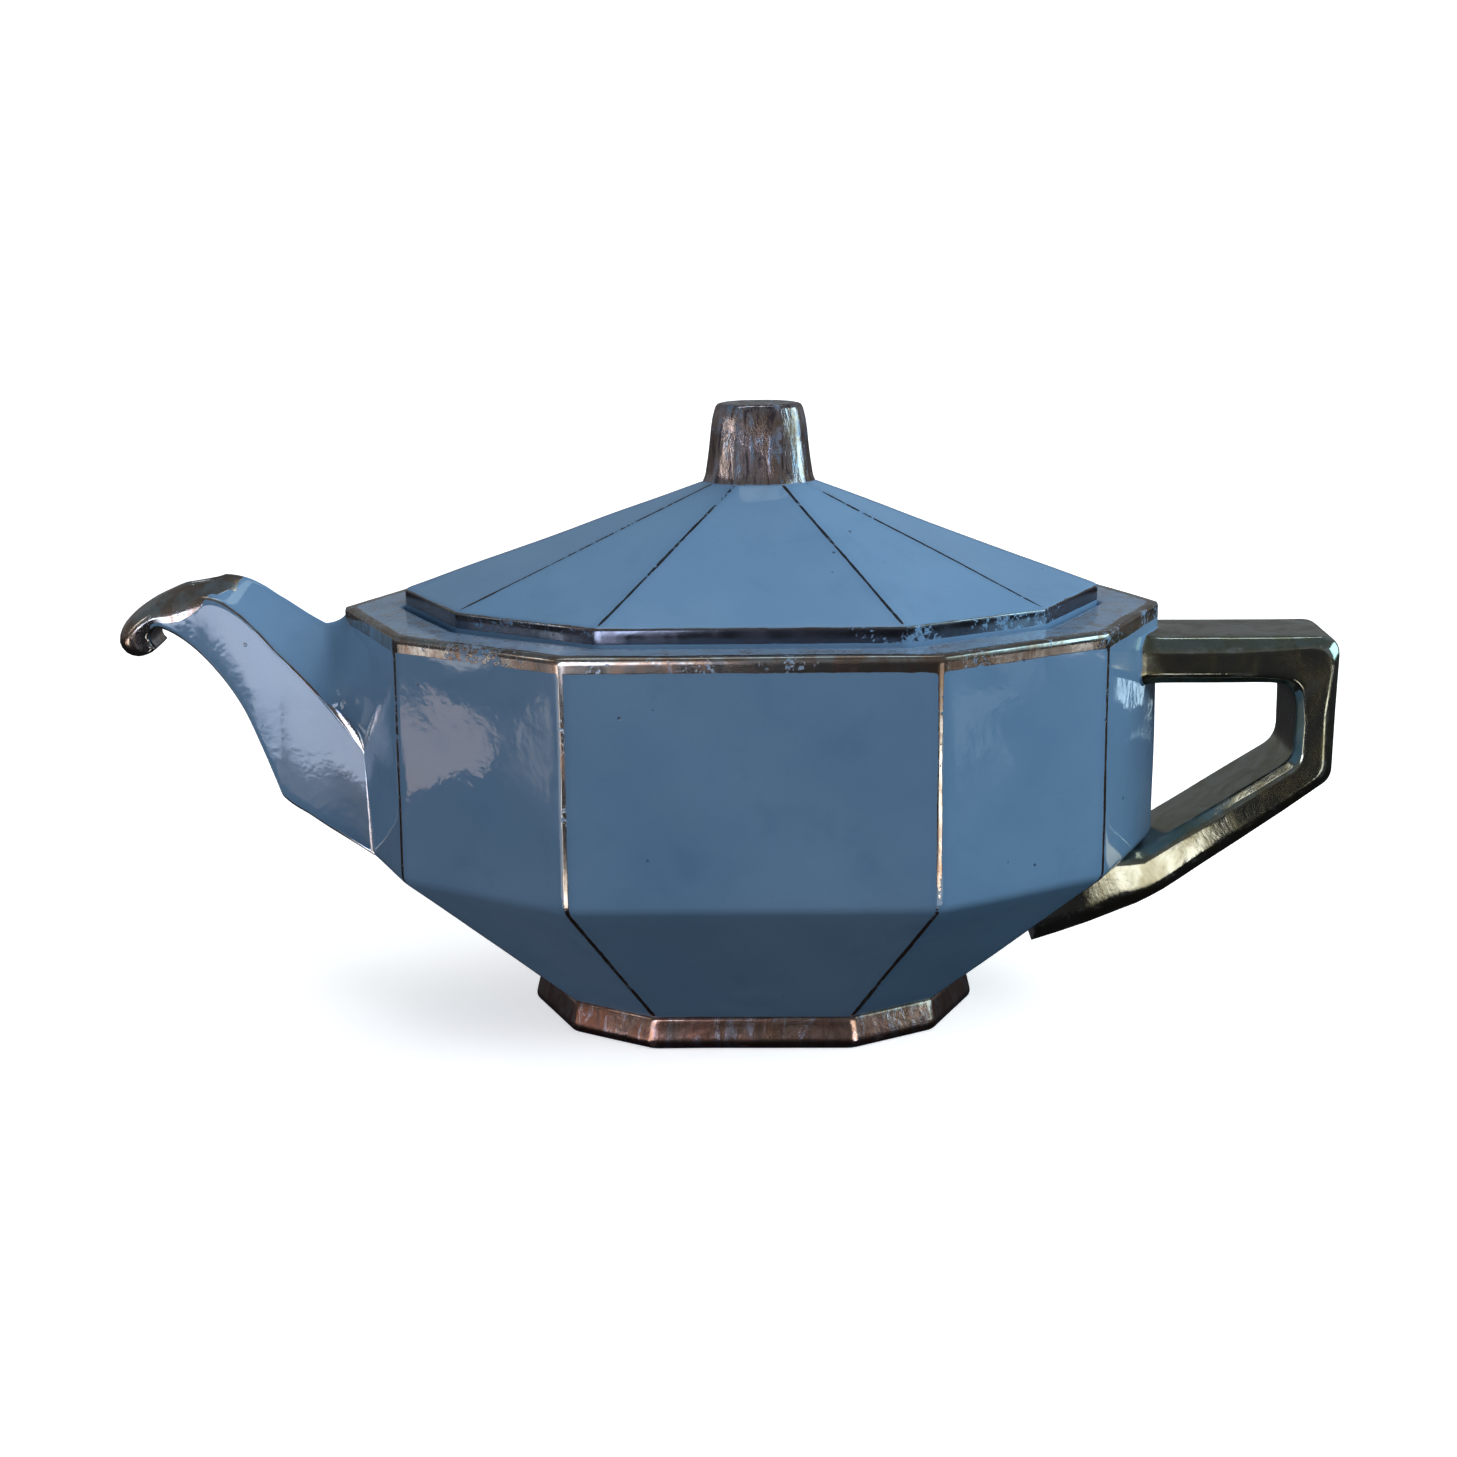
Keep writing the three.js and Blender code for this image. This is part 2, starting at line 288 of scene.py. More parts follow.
def faceted(name, levels, line_widths=(0, 0, 0), arc_steps=6, side_steps=12, longest=4.0,
            closed_path=False, wave=1.0):
    """A ten-sided wall through control levels. line_widths: half widths at corners C, B and A."""
    widths = np.array([line_widths[k] for k in (0, 1, 2, 2, 1, 0, 1, 2, 2, 1)])
    points, lustre, edge = [], [], []
    rows = profile(levels, longest=longest)
    for row in rows:
        plan, (z, radius, band, line) = row[:20].reshape(10, 2), row[20:]
        ring, nearest, away = rounded(plan, [radius] * 10, arc_steps, side_steps)
        points.append(np.column_stack([ring, np.full(len(ring), z)]))
        lines = away - widths[nearest] + line + np.where(widths[nearest] > 0, 0, NO_LUSTRE)
        lustre.append(np.minimum(lines, band))
        edge.append(away)
    rings, count = len(points), len(points[0])
    faces = grid_faces(rings, count, True) if closed_path else capped_faces(rings, count)
    return make_object(name, np.vstack(points), faces, np.hstack(lustre), np.hstack(edge), wave)


# ---- the pot

body_plan = corners(*BODY_PLAN)
taper_plan = corners(*TAPER_PLAN)
foot_plan = corners(*FOOT_PLAN)
lid_plan = corners(*LID_PLAN)
recess_plan = inset(lid_plan, -RECESS_GAP)
mouth_plan = inset(lid_plan, MOUTH_INSET)


def pot_body():
    """The body and its gallery as the single skin that the fired pot has, inside and out."""
    inner_wall = inset(body_plan, WALL)
    inner_foot = inset(taper_plan, WALL)
    band_middle = (BAND_Z + RIM_Z) / 2
    levels = [
        level(inner_foot * 0.02, FLOOR_Z, radius=0.01),
        level(inner_foot * 0.9, FLOOR_Z, 3.0, 2.5),
        level(inner_wall, BREAK_Z + 1.5, 4.0, 4.0),
        level(inner_wall, GALLERY_Z - 2.5, 1.6, 4.0),
        level(mouth_plan, GALLERY_Z, 1.2, 1.6),
        level(mouth_plan, SEAT_Z - 0.3, 0.5, 1.6),
        level(recess_plan, SEAT_Z - 0.3, 0.4, 1.0),
        level(recess_plan, RIM_Z, 0.9, 1.0),
        level(inset(body_plan, 3.4), RIM_Z, 0.0, 1.3, band=0.45),
        level(inset(body_plan, 2.0), RIM_Z, 0.0, 1.3, band=-0.12),
        level(inset(body_plan, 0.75), RIM_Z, 0.0, 1.3, band=-0.22),
        level(inset(body_plan, 0.18), RIM_Z - 0.18, 0.0, 1.3, band=-0.6),
        level(body_plan, RIM_Z - 0.75, 0.0, 1.3, band=-0.9),
        level(body_plan, band_middle, 0.0, 1.3, band=BAND_Z - band_middle),
        level(body_plan, BAND_Z, 0.0, 1.3, band=0.0, line=0.0),
        level(body_plan, BAND_Z - 1.0, 0.0, 1.3, band=1.0, line=0.0),
        level(body_plan, BREAK_Z, 1.5, 1.3, line=0.0),
        level(taper_plan, FOOT_Z, 0.8, 1.1, line=0.0),
        level(inset(taper_plan, 2.5), FOOT_Z - 0.4, 0.6, 1.1),
        level(taper_plan * 0.02, FOOT_Z - 0.2, 0, 0.01),
    ]
    return faceted("pot_body", levels, (0, B_LINE, A_LINE), side_steps=14, longest=3.5)


def foot_ring():
    """The flared foot: lustred outside, open underneath."""
    under = inset(taper_plan, 6.0)
    levels = [
        level(under, FOOT_Z - 0.6, 0.8, 1.0),
        level(under, 0.0, 1.0, 1.0, band=4.0),
        level(inset(foot_plan, 1.2), 0.0, 0.9, 1.2, band=0.6),
        level(foot_plan, 1.5, 1.2, 1.3, band=-1.4),
        level(inset(foot_plan, 0.7), 4.6, 1.6, 1.3, band=-3.0),
        level(inset(taper_plan, -0.12), FOOT_Z - 0.2, 0.5, 1.2, band=-0.6),
        level(inset(taper_plan, 1.2), FOOT_Z + 0.9, 0.3, 1.2, band=0.6),
    ]
    return faceted("foot_ring_lustred", levels, side_steps=8, longest=2.5, closed_path=True, wave=0.5)


# ---- the lid

# The size of the roof's plan under the knob, as a share of its size at the edge.
ROOF_TOP = (APEX_Z - KNOB_BASE_Z) / (APEX_Z - LID_EDGE_Z)


def lid_cover():
    """The roof-shaped cover with its lustred band, hollow underneath."""
    ceiling = inset(lid_plan, 2 * MOUTH_INSET)
    levels = [
        level(towards_apex(ceiling, 0.01), KNOB_BASE_Z - 6.0, 0, 0.01),
        level(towards_apex(ceiling, ROOF_TOP), KNOB_BASE_Z - 6.4, 1.5, 1.0),
        level(ceiling, LID_EDGE_Z, 2.5, 2.5),
        level(ceiling, SEAT_Z + 0.1, 0.8, 2.0),
        level(lid_plan, SEAT_Z, 0.7, 1.1),
        level(lid_plan, LID_EDGE_Z - 0.3 - LID_BAND, 0, 1.1, band=0.0),
        level(lid_plan, LID_EDGE_Z - 0.3 - LID_BAND / 2, 0, 1.1, band=-LID_BAND / 2),
        level(lid_plan, LID_EDGE_Z, 0.7, 1.1, band=0.0, line=0.3),
        level(towards_apex(lid_plan, 0.96), LID_EDGE_Z + 0.04 * (APEX_Z - LID_EDGE_Z), 0, 1.2,
              band=2.0, line=0.0),
        level(towards_apex(lid_plan, ROOF_TOP), KNOB_BASE_Z, 0.5, 0.8, line=0.0),
        level(towards_apex(lid_plan, 0.02), KNOB_BASE_Z, 0, 0.01),
    ]
    return faceted("lid_roof", levels, (RIDGE_LINE, RIDGE_LINE, RIDGE_LINE), side_steps=12, longest=2.6)


def lid_flange():
    """The collar under the lid that keeps it in the mouth."""
    outside = inset(mouth_plan, 0.9)
    inside = inset(outside, 3.5)
    levels = [
        level(inside, SEAT_Z + 0.5, 0, 1.4),
        level(inside, FLANGE_Z, 1.2, 1.4),
        level(outside, FLANGE_Z, 1.2, 1.8),
        level(outside, SEAT_Z + 0.5, 0, 1.8),
    ]
    return faceted("lid_flange_collar", levels, side_steps=8, longest=3.0, closed_path=True, wave=0.6)


def lid_knob():
    """A tapered ten-sided knob with slightly full sides and softly rounded edges."""
    top = 0.122
    height = KNOB_TOP_Z - KNOB_BASE_Z
    levels = [
        level(towards_apex(lid_plan, 0.01), KNOB_BASE_Z - 0.8, 0, 0.01, band=2.0),
        level(towards_apex(lid_plan, ROOF_TOP + 0.008), KNOB_BASE_Z - 0.8, 0.2, 1.0, band=0.6),
        level(towards_apex(lid_plan, ROOF_TOP - 0.003), KNOB_BASE_Z + 1.0, 1.0, 1.2, band=-0.8),
        level(towards_apex(lid_plan, ROOF_TOP - 0.014), KNOB_BASE_Z + height * 0.4, 4.0, 1.3, band=-3),
        level(towards_apex(lid_plan, top + 0.016), KNOB_BASE_Z + height * 0.78, 3.0, 1.2, band=-3),
        level(towards_apex(lid_plan, top + 0.003), KNOB_TOP_Z - 0.35, 1.0, 1.1, band=-3),
        level(towards_apex(lid_plan, top * 0.86), KNOB_TOP_Z - 0.05, 0.9, 0.9, band=-3),
        level(towards_apex(lid_plan, top * 0.5), KNOB_TOP_Z - 0.25, 1.0, 0.7, band=-3),
        level(towards_apex(lid_plan, 0.004), KNOB_TOP_Z - 0.3, 0, 0.01, band=-3),
    ]
    return faceted("lid_knob_lustred", levels, arc_steps=6, side_steps=4, longest=1.4, wave=0.6)


# ---- the spout
#
# One skin runs from the wall to the nose of the curled lip. A section has five corners: the ridge
# on the outside of the sweep, an upper edge on each side and a lower edge on each side.

ARC_STEPS = 6
SIDE_STEPS = 14
ARC_SHARE = 0.05
STATION_GAP = 0.8

# Ridge point, underside point, drop from ridge to upper edges, half width at the upper and lower
# edges, and the rounding of the ridge, the upper edges and the lower edges.
SPOUT_SECTIONS = [
    ((-94.6, 88.9), (-94.6, 45.5), 15.0, 9.9, 12.7, (0.8, 0.8, 1.0)),
    ((-97.5, 90.6), (-97.5, 47.5), 13.4, 9.8, 12.45, (0.8, 0.8, 1.0)),
    ((-102.6, 94.0), (-102.6, 51.0), 11.4, 9.7, 12.05, (0.8, 0.8, 1.0)),
    ((-103.4, 94.5), (-103.4, 51.8), 11.1, 9.7, 12.0, (0.8, 0.8, 1.1)),
    ((-104.2, 95.0), (-104.2, 53.8), 10.7, 9.65, 11.85, (0.8, 0.8, 1.2)),
    ((-107.5, 97.3), (-107.5, 62.0), 9.2, 9.5, 11.1, (1.0, 0.8, 1.3)),
    ((-112.0, 99.3), (-112.0, 71.8), 6.9, 9.1, 10.0, (1.2, 0.9, 1.4)),
    ((-117.5, 100.0), (-117.5, 79.6), 4.4, 8.6, 8.9, (2.4, 1.5, 1.3)),
    ((-123.2, 98.8), (-123.2, 85.2), 3.3, 7.9, 8.0, (3.0, 2.8, 1.2)),
    ((-128.0, 97.0), (-127.7, 88.0), 3.0, 7.4, 7.5, (3.0, 3.2, 1.2)),
    ((-132.6, 94.6), (-130.2, 88.6), 2.3, 7.2, 7.2, (3.0, 2.5, 1.3)),
    ((-136.7, 91.5), (-131.2, 87.8), 2.0, 7.0, 6.9, (3.0, 2.7, 1.2)),
    ((-139.5, 88.0), (-131.8, 87.0), 1.9, 6.9, 6.7, (3.0, 3.0, 1.2)),
    ((-140.2, 84.9), (-131.9, 86.2), 1.8, 6.8, 6.5, (3.0, 3.0, 1.2)),
    ((-138.7, 82.4), (-131.7, 85.4), 1.6, 6.6, 6.4, (3.0, 2.8, 1.2)),
    ((-135.8, 81.5), (-131.4, 84.8), 1.2, 6.4, 6.3, (2.5, 2.2, 1.2)),
    ((-133.2, 82.2), (-131.0, 84.4), 0.8, 6.2, 6.1, (1.0, 1.2, 0.8)),
    ((-131.9, 83.0), (-130.9, 84.0), 0.3, 5.8, 5.8, (0.5, 0.5, 0.5)),
]
LIP_SECTION = 9
ALL_LUSTRE_SECTION = 11
ROOT_STEPS = 22
SUNK_IN_WALL = 0.35

# Where the spout leaves the wall, as distance from the middle plane and height: the top's sweep,
# a side and the underside.
FAN_POINTS = [
    (0.0, 90.6), (7.0, 89.6), (14.0, 88.8), (22.0, 88.4), (30.0, 88.0), (28.6, 80.0), (25.2, 74.6),
    (20.0, 69.6), (15.0, 65.4), (10.7, 61.0),
]
ROOT_SIDE = [(10.7, 61.0), (12.1, 50.0), (13.5, 38.6)]
ROOT_UNDER = [(13.5, 38.6), (0.0, 37.6), (-13.5, 38.6)]

# The pouring passage: centre, direction, and half sizes across and along the spout.
BORE_STATIONS = [
    ((-87.5, 58.0), (-0.8, 0.6), 6.8, 10.0),
    ((-97.0, 67.0), (-0.65, 0.76), 6.6, 9.0),
    ((-105.5, 77.0), (-0.6, 0.8), 6.0, 8.0),
    ((-113.0, 87.0), (-0.6, 0.8), 5.0, 6.2),
    ((-118.4, 93.0), (-0.35, 0.94), 4.2, 4.8),
    ((-120.4, 97.0), (-0.1, 1.0), 3.3, 4.2),
    ((-120.8, 99.0), (0.0, 1.0), 3.7, 4.8),
    ((-120.8, 104.0), (0.0, 1.0), 5.6, 6.8),
]
# What lustre_edge and edge_gap hold on walls that a cutter leaves.
GLAZED = 6.0
LUSTRED = -2.0
FAR_FROM_EDGE = 5.0

# The part of the mouth that is lustred: beyond this x, above this height, and this far to a side.
LUSTRED_MOUTH_FROM = -112.6
LUSTRED_MOUTH_ABOVE = 90.0
LUSTRED_MOUTH_HALF = 4.6
LUSTRED_STATIONS = 4
STRAINER_RADIUS = 2.1
STRAINER_SIDES = 20
STRAINER_ROWS = (53.0, 60.0, 67.0)
STRAINER_COLUMNS = (-5.2, 0.0, 5.2)


def softened(path, rounds=3):
    """Cuts the corners of an open polyline a few times, keeping its ends."""
    for _ in range(rounds):
        cut = [path[0]]
        for a, b in zip(path, path[1:]):
            cut.append((a[0] * 0.75 + b[0] * 0.25, a[1] * 0.75 + b[1] * 0.25))
            cut.append((a[0] * 0.25 + b[0] * 0.75, a[1] * 0.25 + b[1] * 0.75))
        path = [*cut, path[-1]]
    return path


def mirrored(path):
    return [(-y, z) for y, z in reversed(path)]


FAN = softened(FAN_POINTS)
ROOT_PATHS = [FAN, ROOT_SIDE, ROOT_UNDER, mirrored(ROOT_SIDE), mirrored(FAN)]


def ring_shares():
    """Where each point of a section's ring is: 0 is the ridge and every whole number a corner."""
    shares = []
    for corner in range(5):
        shares += [corner + (2 * j / ARC_STEPS - 1) * ARC_SHARE for j in range(ARC_STEPS + 1)]
        step = (1 - 2 * ARC_SHARE) / SIDE_STEPS
        shares += [corner + ARC_SHARE + step * j for j in range(1, SIDE_STEPS)]
    return np.array(shares) % 5


def along_path(path, share):
    """The point at a share of a polyline's length."""
    path = np.array(path)
    lengths = np.concatenate([[0], np.cumsum(np.linalg.norm(np.diff(path, axis=0), axis=1))])
    return np.array([np.interp(share, lengths / lengths[-1], path[:, k]) for k in range(2)])


def facet_x(y):
    """How far along -X the end facets of the wall are, at a distance y from the middle plane."""
    c, bx, by = BODY_PLAN[:3]
    return -(c - abs(y) * (c - bx) / by)


def section_ring(ridge, under, drop, edge_half, base_half, radii):
    """A section's ring of points in the pot's axes, and each point's corner and distance from it."""
    ridge, under = np.array(ridge, float), np.array(under, float)
    height = np.linalg.norm(ridge - under)
    up = (ridge - under) / height
    edge_up = height - drop
    outline = np.array([
        (0, height), (edge_half, edge_up), (base_half, 0), (-base_half, 0), (-edge_half, edge_up),
    ])
    at_ridge, at_edge, at_base = radii
    flat, nearest, away = rounded(
        outline, [at_ridge, at_edge, at_base, at_base, at_edge], ARC_STEPS, SIDE_STEPS)
    points = np.column_stack([under[0] + flat[:, 1] * up[0], flat[:, 0], under[1] + flat[:, 1] * up[1]])
    return points, nearest, away


def blended(t, start, leaving, end, arriving):
    """The point at t between two points, leaving one and arriving at the other in given directions."""
    return ((2 * t ** 3 - 3 * t * t + 1) * start + (t ** 3 - 2 * t * t + t) * leaving
            + (3 * t * t - 2 * t ** 3) * end + (t ** 3 - t * t) * arriving)


def smooth_between(rings, *others):
    """Smooth interpolation through a list of rings. The other lists are interpolated with them.

    Returns the lists and, for each ring, its place as a section number."""
    last = len(rings) - 1
    spans = [np.linalg.norm(rings[k + 1] - rings[k], axis=1).mean() for k in range(last)]
    results, places = [], []
    for which in (rings, *others):
        slopes = []
        for k in range(last + 1):
            if k in (0, last):
                near = min(k, last - 1)
                slopes.append((which[near + 1] - which[near]) / spans[near])
            else:
                before = (which[k] - which[k - 1]) / spans[k - 1]
                after = (which[k + 1] - which[k]) / spans[k]
                slopes.append((before * spans[k] + after * spans[k - 1]) / (spans[k] + spans[k - 1]))
        out, places = [], []
        for k in range(last):
            steps, h = max(2, round(spans[k] / STATION_GAP)), spans[k]
            for t in np.arange(steps) / steps:
                out.append(blended(t, which[k], h * slopes[k], which[k + 1], h * slopes[k + 1]))
                places.append(k + t)
        out.append(which[last])
        places.append(float(last))
        results.append(out)
    return (*results, np.array(places))


def root_rings(first, second):
    """Rings from inside the wall to the first section.

    The top sweeps up out of both end facets in a hollow curve. The sides and the underside run
    straight into the wall."""
    direction = (second - first) / np.linalg.norm(second - first, axis=1)[:, None]
    slope = (BODY_PLAN[0] - BODY_PLAN[1]) / BODY_PLAN[2]
    starts, leave, arrive = [], [], []
    for share, goal, heading in zip(ring_shares(), first, direction):
        y, z = along_path(ROOT_PATHS[int(share)], share % 1)
        start = np.array([facet_x(y), y, z])
        gap = goal - start
        length = np.linalg.norm(gap)
        normal = np.array([-1, np.sign(y) * slope, 0]) / math.hypot(1, slope)
        if share < 1 or share > 4:
            middle = min(share, 5 - share)
            flat = gap - normal * np.dot(gap, normal)
            flat /= max(np.linalg.norm(flat), 1e-6)
            blend = min(middle / 0.3, 1.0)
            out = np.array([0, 0, -1.0]) * (1 - blend) + flat * blend
            out *= length * (0.7 + 0.5 * blend) / np.linalg.norm(out)
        else:
            out = gap * 0.9
        starts.append(start - normal * SUNK_IN_WALL)
        leave.append(out)
        arrive.append(heading * length * 0.8)
    starts, leave, arrive = np.array(starts), np.array(leave), np.array(arrive)
    return [blended(t, starts, leave, first, arrive) for t in np.arange(ROOT_STEPS) / ROOT_STEPS]


def lip_start(share):
    """How far along -X the lustre of the lip begins, around a ring."""
    share = min(share, 5 - share)
    return np.interp(share, [0, 0.9, 1.0, 1.15, 1.4, 1.75, 2.0, 2.5],
                     [-111.8, -116.5, -118.8, -121.5, -125.0, -129.5, -132.0, -131.0])


def tube(name, stations, sides=28):
    """A closed tube of oval sections, used to cut passages. Its last stations leave lustred walls."""
    points, marks = [], []
    for number, ((x, z), (dx, dz), across, along) in enumerate(stations):
        length = math.hypot(dx, dz)
        side = np.array([dz / length, 0, -dx / length])
        for a in np.linspace(0, 2 * math.pi, sides, endpoint=False):
            points.append(np.array([x, 0, z]) + side * along * math.cos(a)
                          + np.array([0, across * math.sin(a), 0]))
            marks.append(GLAZED if number < len(stations) - LUSTRED_STATIONS else LUSTRED)
    faces = capped_faces(len(stations), sides)
    return make_object(name, np.array(points), faces, np.array(marks), np.full(len(points), FAR_FROM_EDGE), 0)


def cut_away(piece, *cutters):
    """Cuts the cutters out of a piece and removes them."""
    for cutter in cutters:
        cut = piece.modifiers.new("cut", "BOOLEAN")
        cut.operation, cut.solver, cut.object = "DIFFERENCE", "EXACT", cutter
    graph = bpy.context.evaluated_depsgraph_get()
    fresh = bpy.data.meshes.new_from_object(piece.evaluated_get(graph))
    piece.modifiers.clear()
    piece.data = fresh
    for cutter in cutters:
        bpy.data.objects.remove(cutter)


def strainer_cutter(y, z):
    """A round bar through the wall behind the spout."""
    rings = [np.array([(x, y + STRAINER_RADIUS * math.cos(a), z + STRAINER_RADIUS * math.sin(a))
                       for a in np.linspace(0, 2 * math.pi, STRAINER_SIDES, endpoint=False)])
             for x in (-93.0, -82.0)]
    marks, gaps = np.full(2 * STRAINER_SIDES, GLAZED), np.full(2 * STRAINER_SIDES, FAR_FROM_EDGE)
    return make_object("strainer_hole", np.vstack(rings), capped_faces(2, STRAINER_SIDES), marks, gaps, 0)


def spout_pieces():
    """The glazed spout and its lustred lip, cut from one skin so that they meet exactly."""
    made = [section_ring(*s) for s in SPOUT_SECTIONS]
    _, nearest, away = made[0]
    sections, gaps, places = smooth_between([m[0] for m in made], [m[2] for m in made])
    roots = root_rings(made[0][0], made[1][0])
    rings = roots + sections
    gaps = [away] * len(roots) + gaps
    places = np.concatenate([np.full(len(roots), -1.0), places])
    shares = ring_shares()
    start_of_lip = np.array([lip_start(s) for s in shares])
    on_side = ((shares > 1 - ARC_SHARE / 3) & (shares < 2 + ARC_SHARE)) | (
        (shares < 4 + ARC_SHARE / 3) & (shares > 3 - ARC_SHARE))
    on_edge = (nearest == 1) | (nearest == 4)
    on_base = (nearest == 2) | (nearest == 3)
    lustre = []
    for ring, gap, place in zip(rings, gaps, places):
        from_root = np.linalg.norm(ring - rings[0], axis=1)
        root_line = np.where(on_side, from_root - 0.85, NO_LUSTRE)
        edge_line = np.where(on_edge, gap - (0.36 if place > 0 else 0.2), NO_LUSTRE)
        base_line = np.where(on_base, gap - 0.42, NO_LUSTRE)
        lip = ring[:, 0] - start_of_lip if place < ALL_LUSTRE_SECTION else np.full(len(ring), -3.0)
        lustre.append(np.minimum.reduce([root_line, edge_line, base_line, lip]))
    split = int(np.searchsorted(places, LIP_SECTION))
    count = len(shares)
    pieces = []
    for name, part, marks in (
        ("spout_glazed", rings[:split + 1], lustre[:split + 1]),
        ("spout_lip_lustred", rings[split:], lustre[split:]),
    ):
        pieces.append(make_object(name, np.vstack(part), capped_faces(len(part), count), np.hstack(marks),
                                  np.tile(away, len(part)), wave=0.5))
    cut_away(pieces[0], tube("pouring_passage", BORE_STATIONS))
    skin = pieces[0].data
    sharpen_caps(skin, most_corners=60)
    for vertex, mark in zip(skin.vertices, skin.attributes["lustre_edge"].data):
        x, y, z = vertex.co.x / MM - AXIS_X, vertex.co.y / MM, vertex.co.z / MM
        if x < LUSTRED_MOUTH_FROM and z > LUSTRED_MOUTH_ABOVE and abs(y) < LUSTRED_MOUTH_HALF:
            mark.value = min(mark.value, LUSTRED)
    return pieces


# ---- the handle
#
# A bevelled bar bent round the finger hole. A station is a point of the outer outline, the point
# of the inner outline across from it, and how much the bar is widened there.

HANDLE_HALF = 12.4
HANDLE_OUTER_BEVEL = 2.6
HANDLE_INNER_BEVEL = 2.1
HANDLE_EDGE_RADIUS = 0.75
HANDLE_ROOT_STATIONS = 5


def bend(start, corner, end, steps=7):
    start, corner, end = map(np.array, (start, corner, end))
    return [(1 - t) ** 2 * start + 2 * t * (1 - t) * corner + t * t * end for t in np.linspace(0, 1, steps)]


def handle_stations():
    top_outer, top_inner = 86.0, 75.8
    stations = [((x, top_outer + flare), (x, top_inner - flare), flare, 1.0)
                for x, flare in ((88.6, 0.9), (90.1, 0.6), (90.7, 0.3), (91.6, 0.1), (94.5, 0.0))]
    stations += [((x, top_outer), (x, top_inner), 0, 0) for x in (100.0, 105.0)]
    stations.append(((116.5, top_outer), (109.8, top_inner), 0, 0))
    outer = bend((123.8, 86.0), (127.8, 85.8), (127.9, 81.8))
    inner = bend((113.2, 75.7), (118.7, 75.5), (118.8, 70.4))
    stations += [(o, i, 0, 0) for o, i in zip(outer, inner)]
    stations.append(((127.7, 69.5), (118.8, 66.4), 0, 0))
    outer = bend((127.4, 56.4), (127.3, 54.1), (125.5, 52.8))
    inner = bend((118.8, 62.0), (118.6, 58.8), (116.0, 57.1))
    stations += [(o, i, 0, 0) for o, i in zip(outer, inner)]
    stations += [
        ((117.0, 46.6), (108.6, 52.4), 0, 0),
        ((108.0, 40.3), (101.6, 48.0), 0, 0),
        ((99.6, 34.5), (96.2, 44.6), 0, 0),
        ((94.4, 30.9), (92.2, 42.1), 0, 0),
        ((91.4, 28.9), (89.0, 40.0), 0, 0),
        ((88.6, 27.3), (86.0, 38.1), 0, 0),
        ((85.4, 25.6), (83.0, 36.3), 0, 0.45),
        ((82.0, 24.2), (80.0, 34.4), 0, 1.0),
        ((75.0, 21.3), (76.0, 31.2), 0.0, 1.0),
        ((68.0, 18.6), (69.5, 26.0), -0.6, 1.0),
        ((62.5, 16.3), (64.5, 22.0), -2.0, 1.0),
    ]
    return stations


def handle():
    """The bevelled bar, with its upper end shaped to the wall and its lower end to the taper."""
    wall_slope = (BODY_PLAN[0] - BODY_PLAN[1]) / BODY_PLAN[2]
    taper_rise = (BREAK_Z - FOOT_Z) / (BODY_PLAN[0] - TAPER_PLAN[0])
    points, lustre, edge = [], [], []
    for number, (outer, inner, flare, follows_wall) in enumerate(handle_stations()):
        outer, inner = np.array(outer, float), np.array(inner, float)
        across = np.linalg.norm(inner - outer)
        way = (inner - outer) / across
        half = HANDLE_HALF + flare
        a, b = HANDLE_OUTER_BEVEL, min(HANDLE_INNER_BEVEL, across * 0.3)
        one_side = [(half - a * 0.8, 0), (half, a), (half, across - b), (half - b, across)]
        outline = np.array(one_side + [(-y, d) for y, d in reversed(one_side)])
        flat, _, away = rounded(outline, [HANDLE_EDGE_RADIUS] * 8, arc_steps=5, side_steps=7)
        y, depth = flat[:, 0], flat[:, 1]
        x = outer[0] + way[0] * depth
        z = outer[1] + way[1] * depth
        upper_root = number < HANDLE_ROOT_STATIONS
        if upper_root:
            x = x - np.abs(y) * wall_slope * follows_wall
        else:
            z = z + np.abs(y) * wall_slope * taper_rise * follows_wall * depth / across
        points.append(np.column_stack([x, y, z]))
        gone = (outer[0] - 90.0) if upper_root else 6.0
        lustre.append(np.full(len(x), 0.5 - gone))
        edge.append(away)
    faces = capped_faces(len(points), len(points[0]))
    return make_object("handle_lustred", np.vstack(points), faces, np.hstack(lustre), np.hstack(edge), 0.6)


# ---- materials


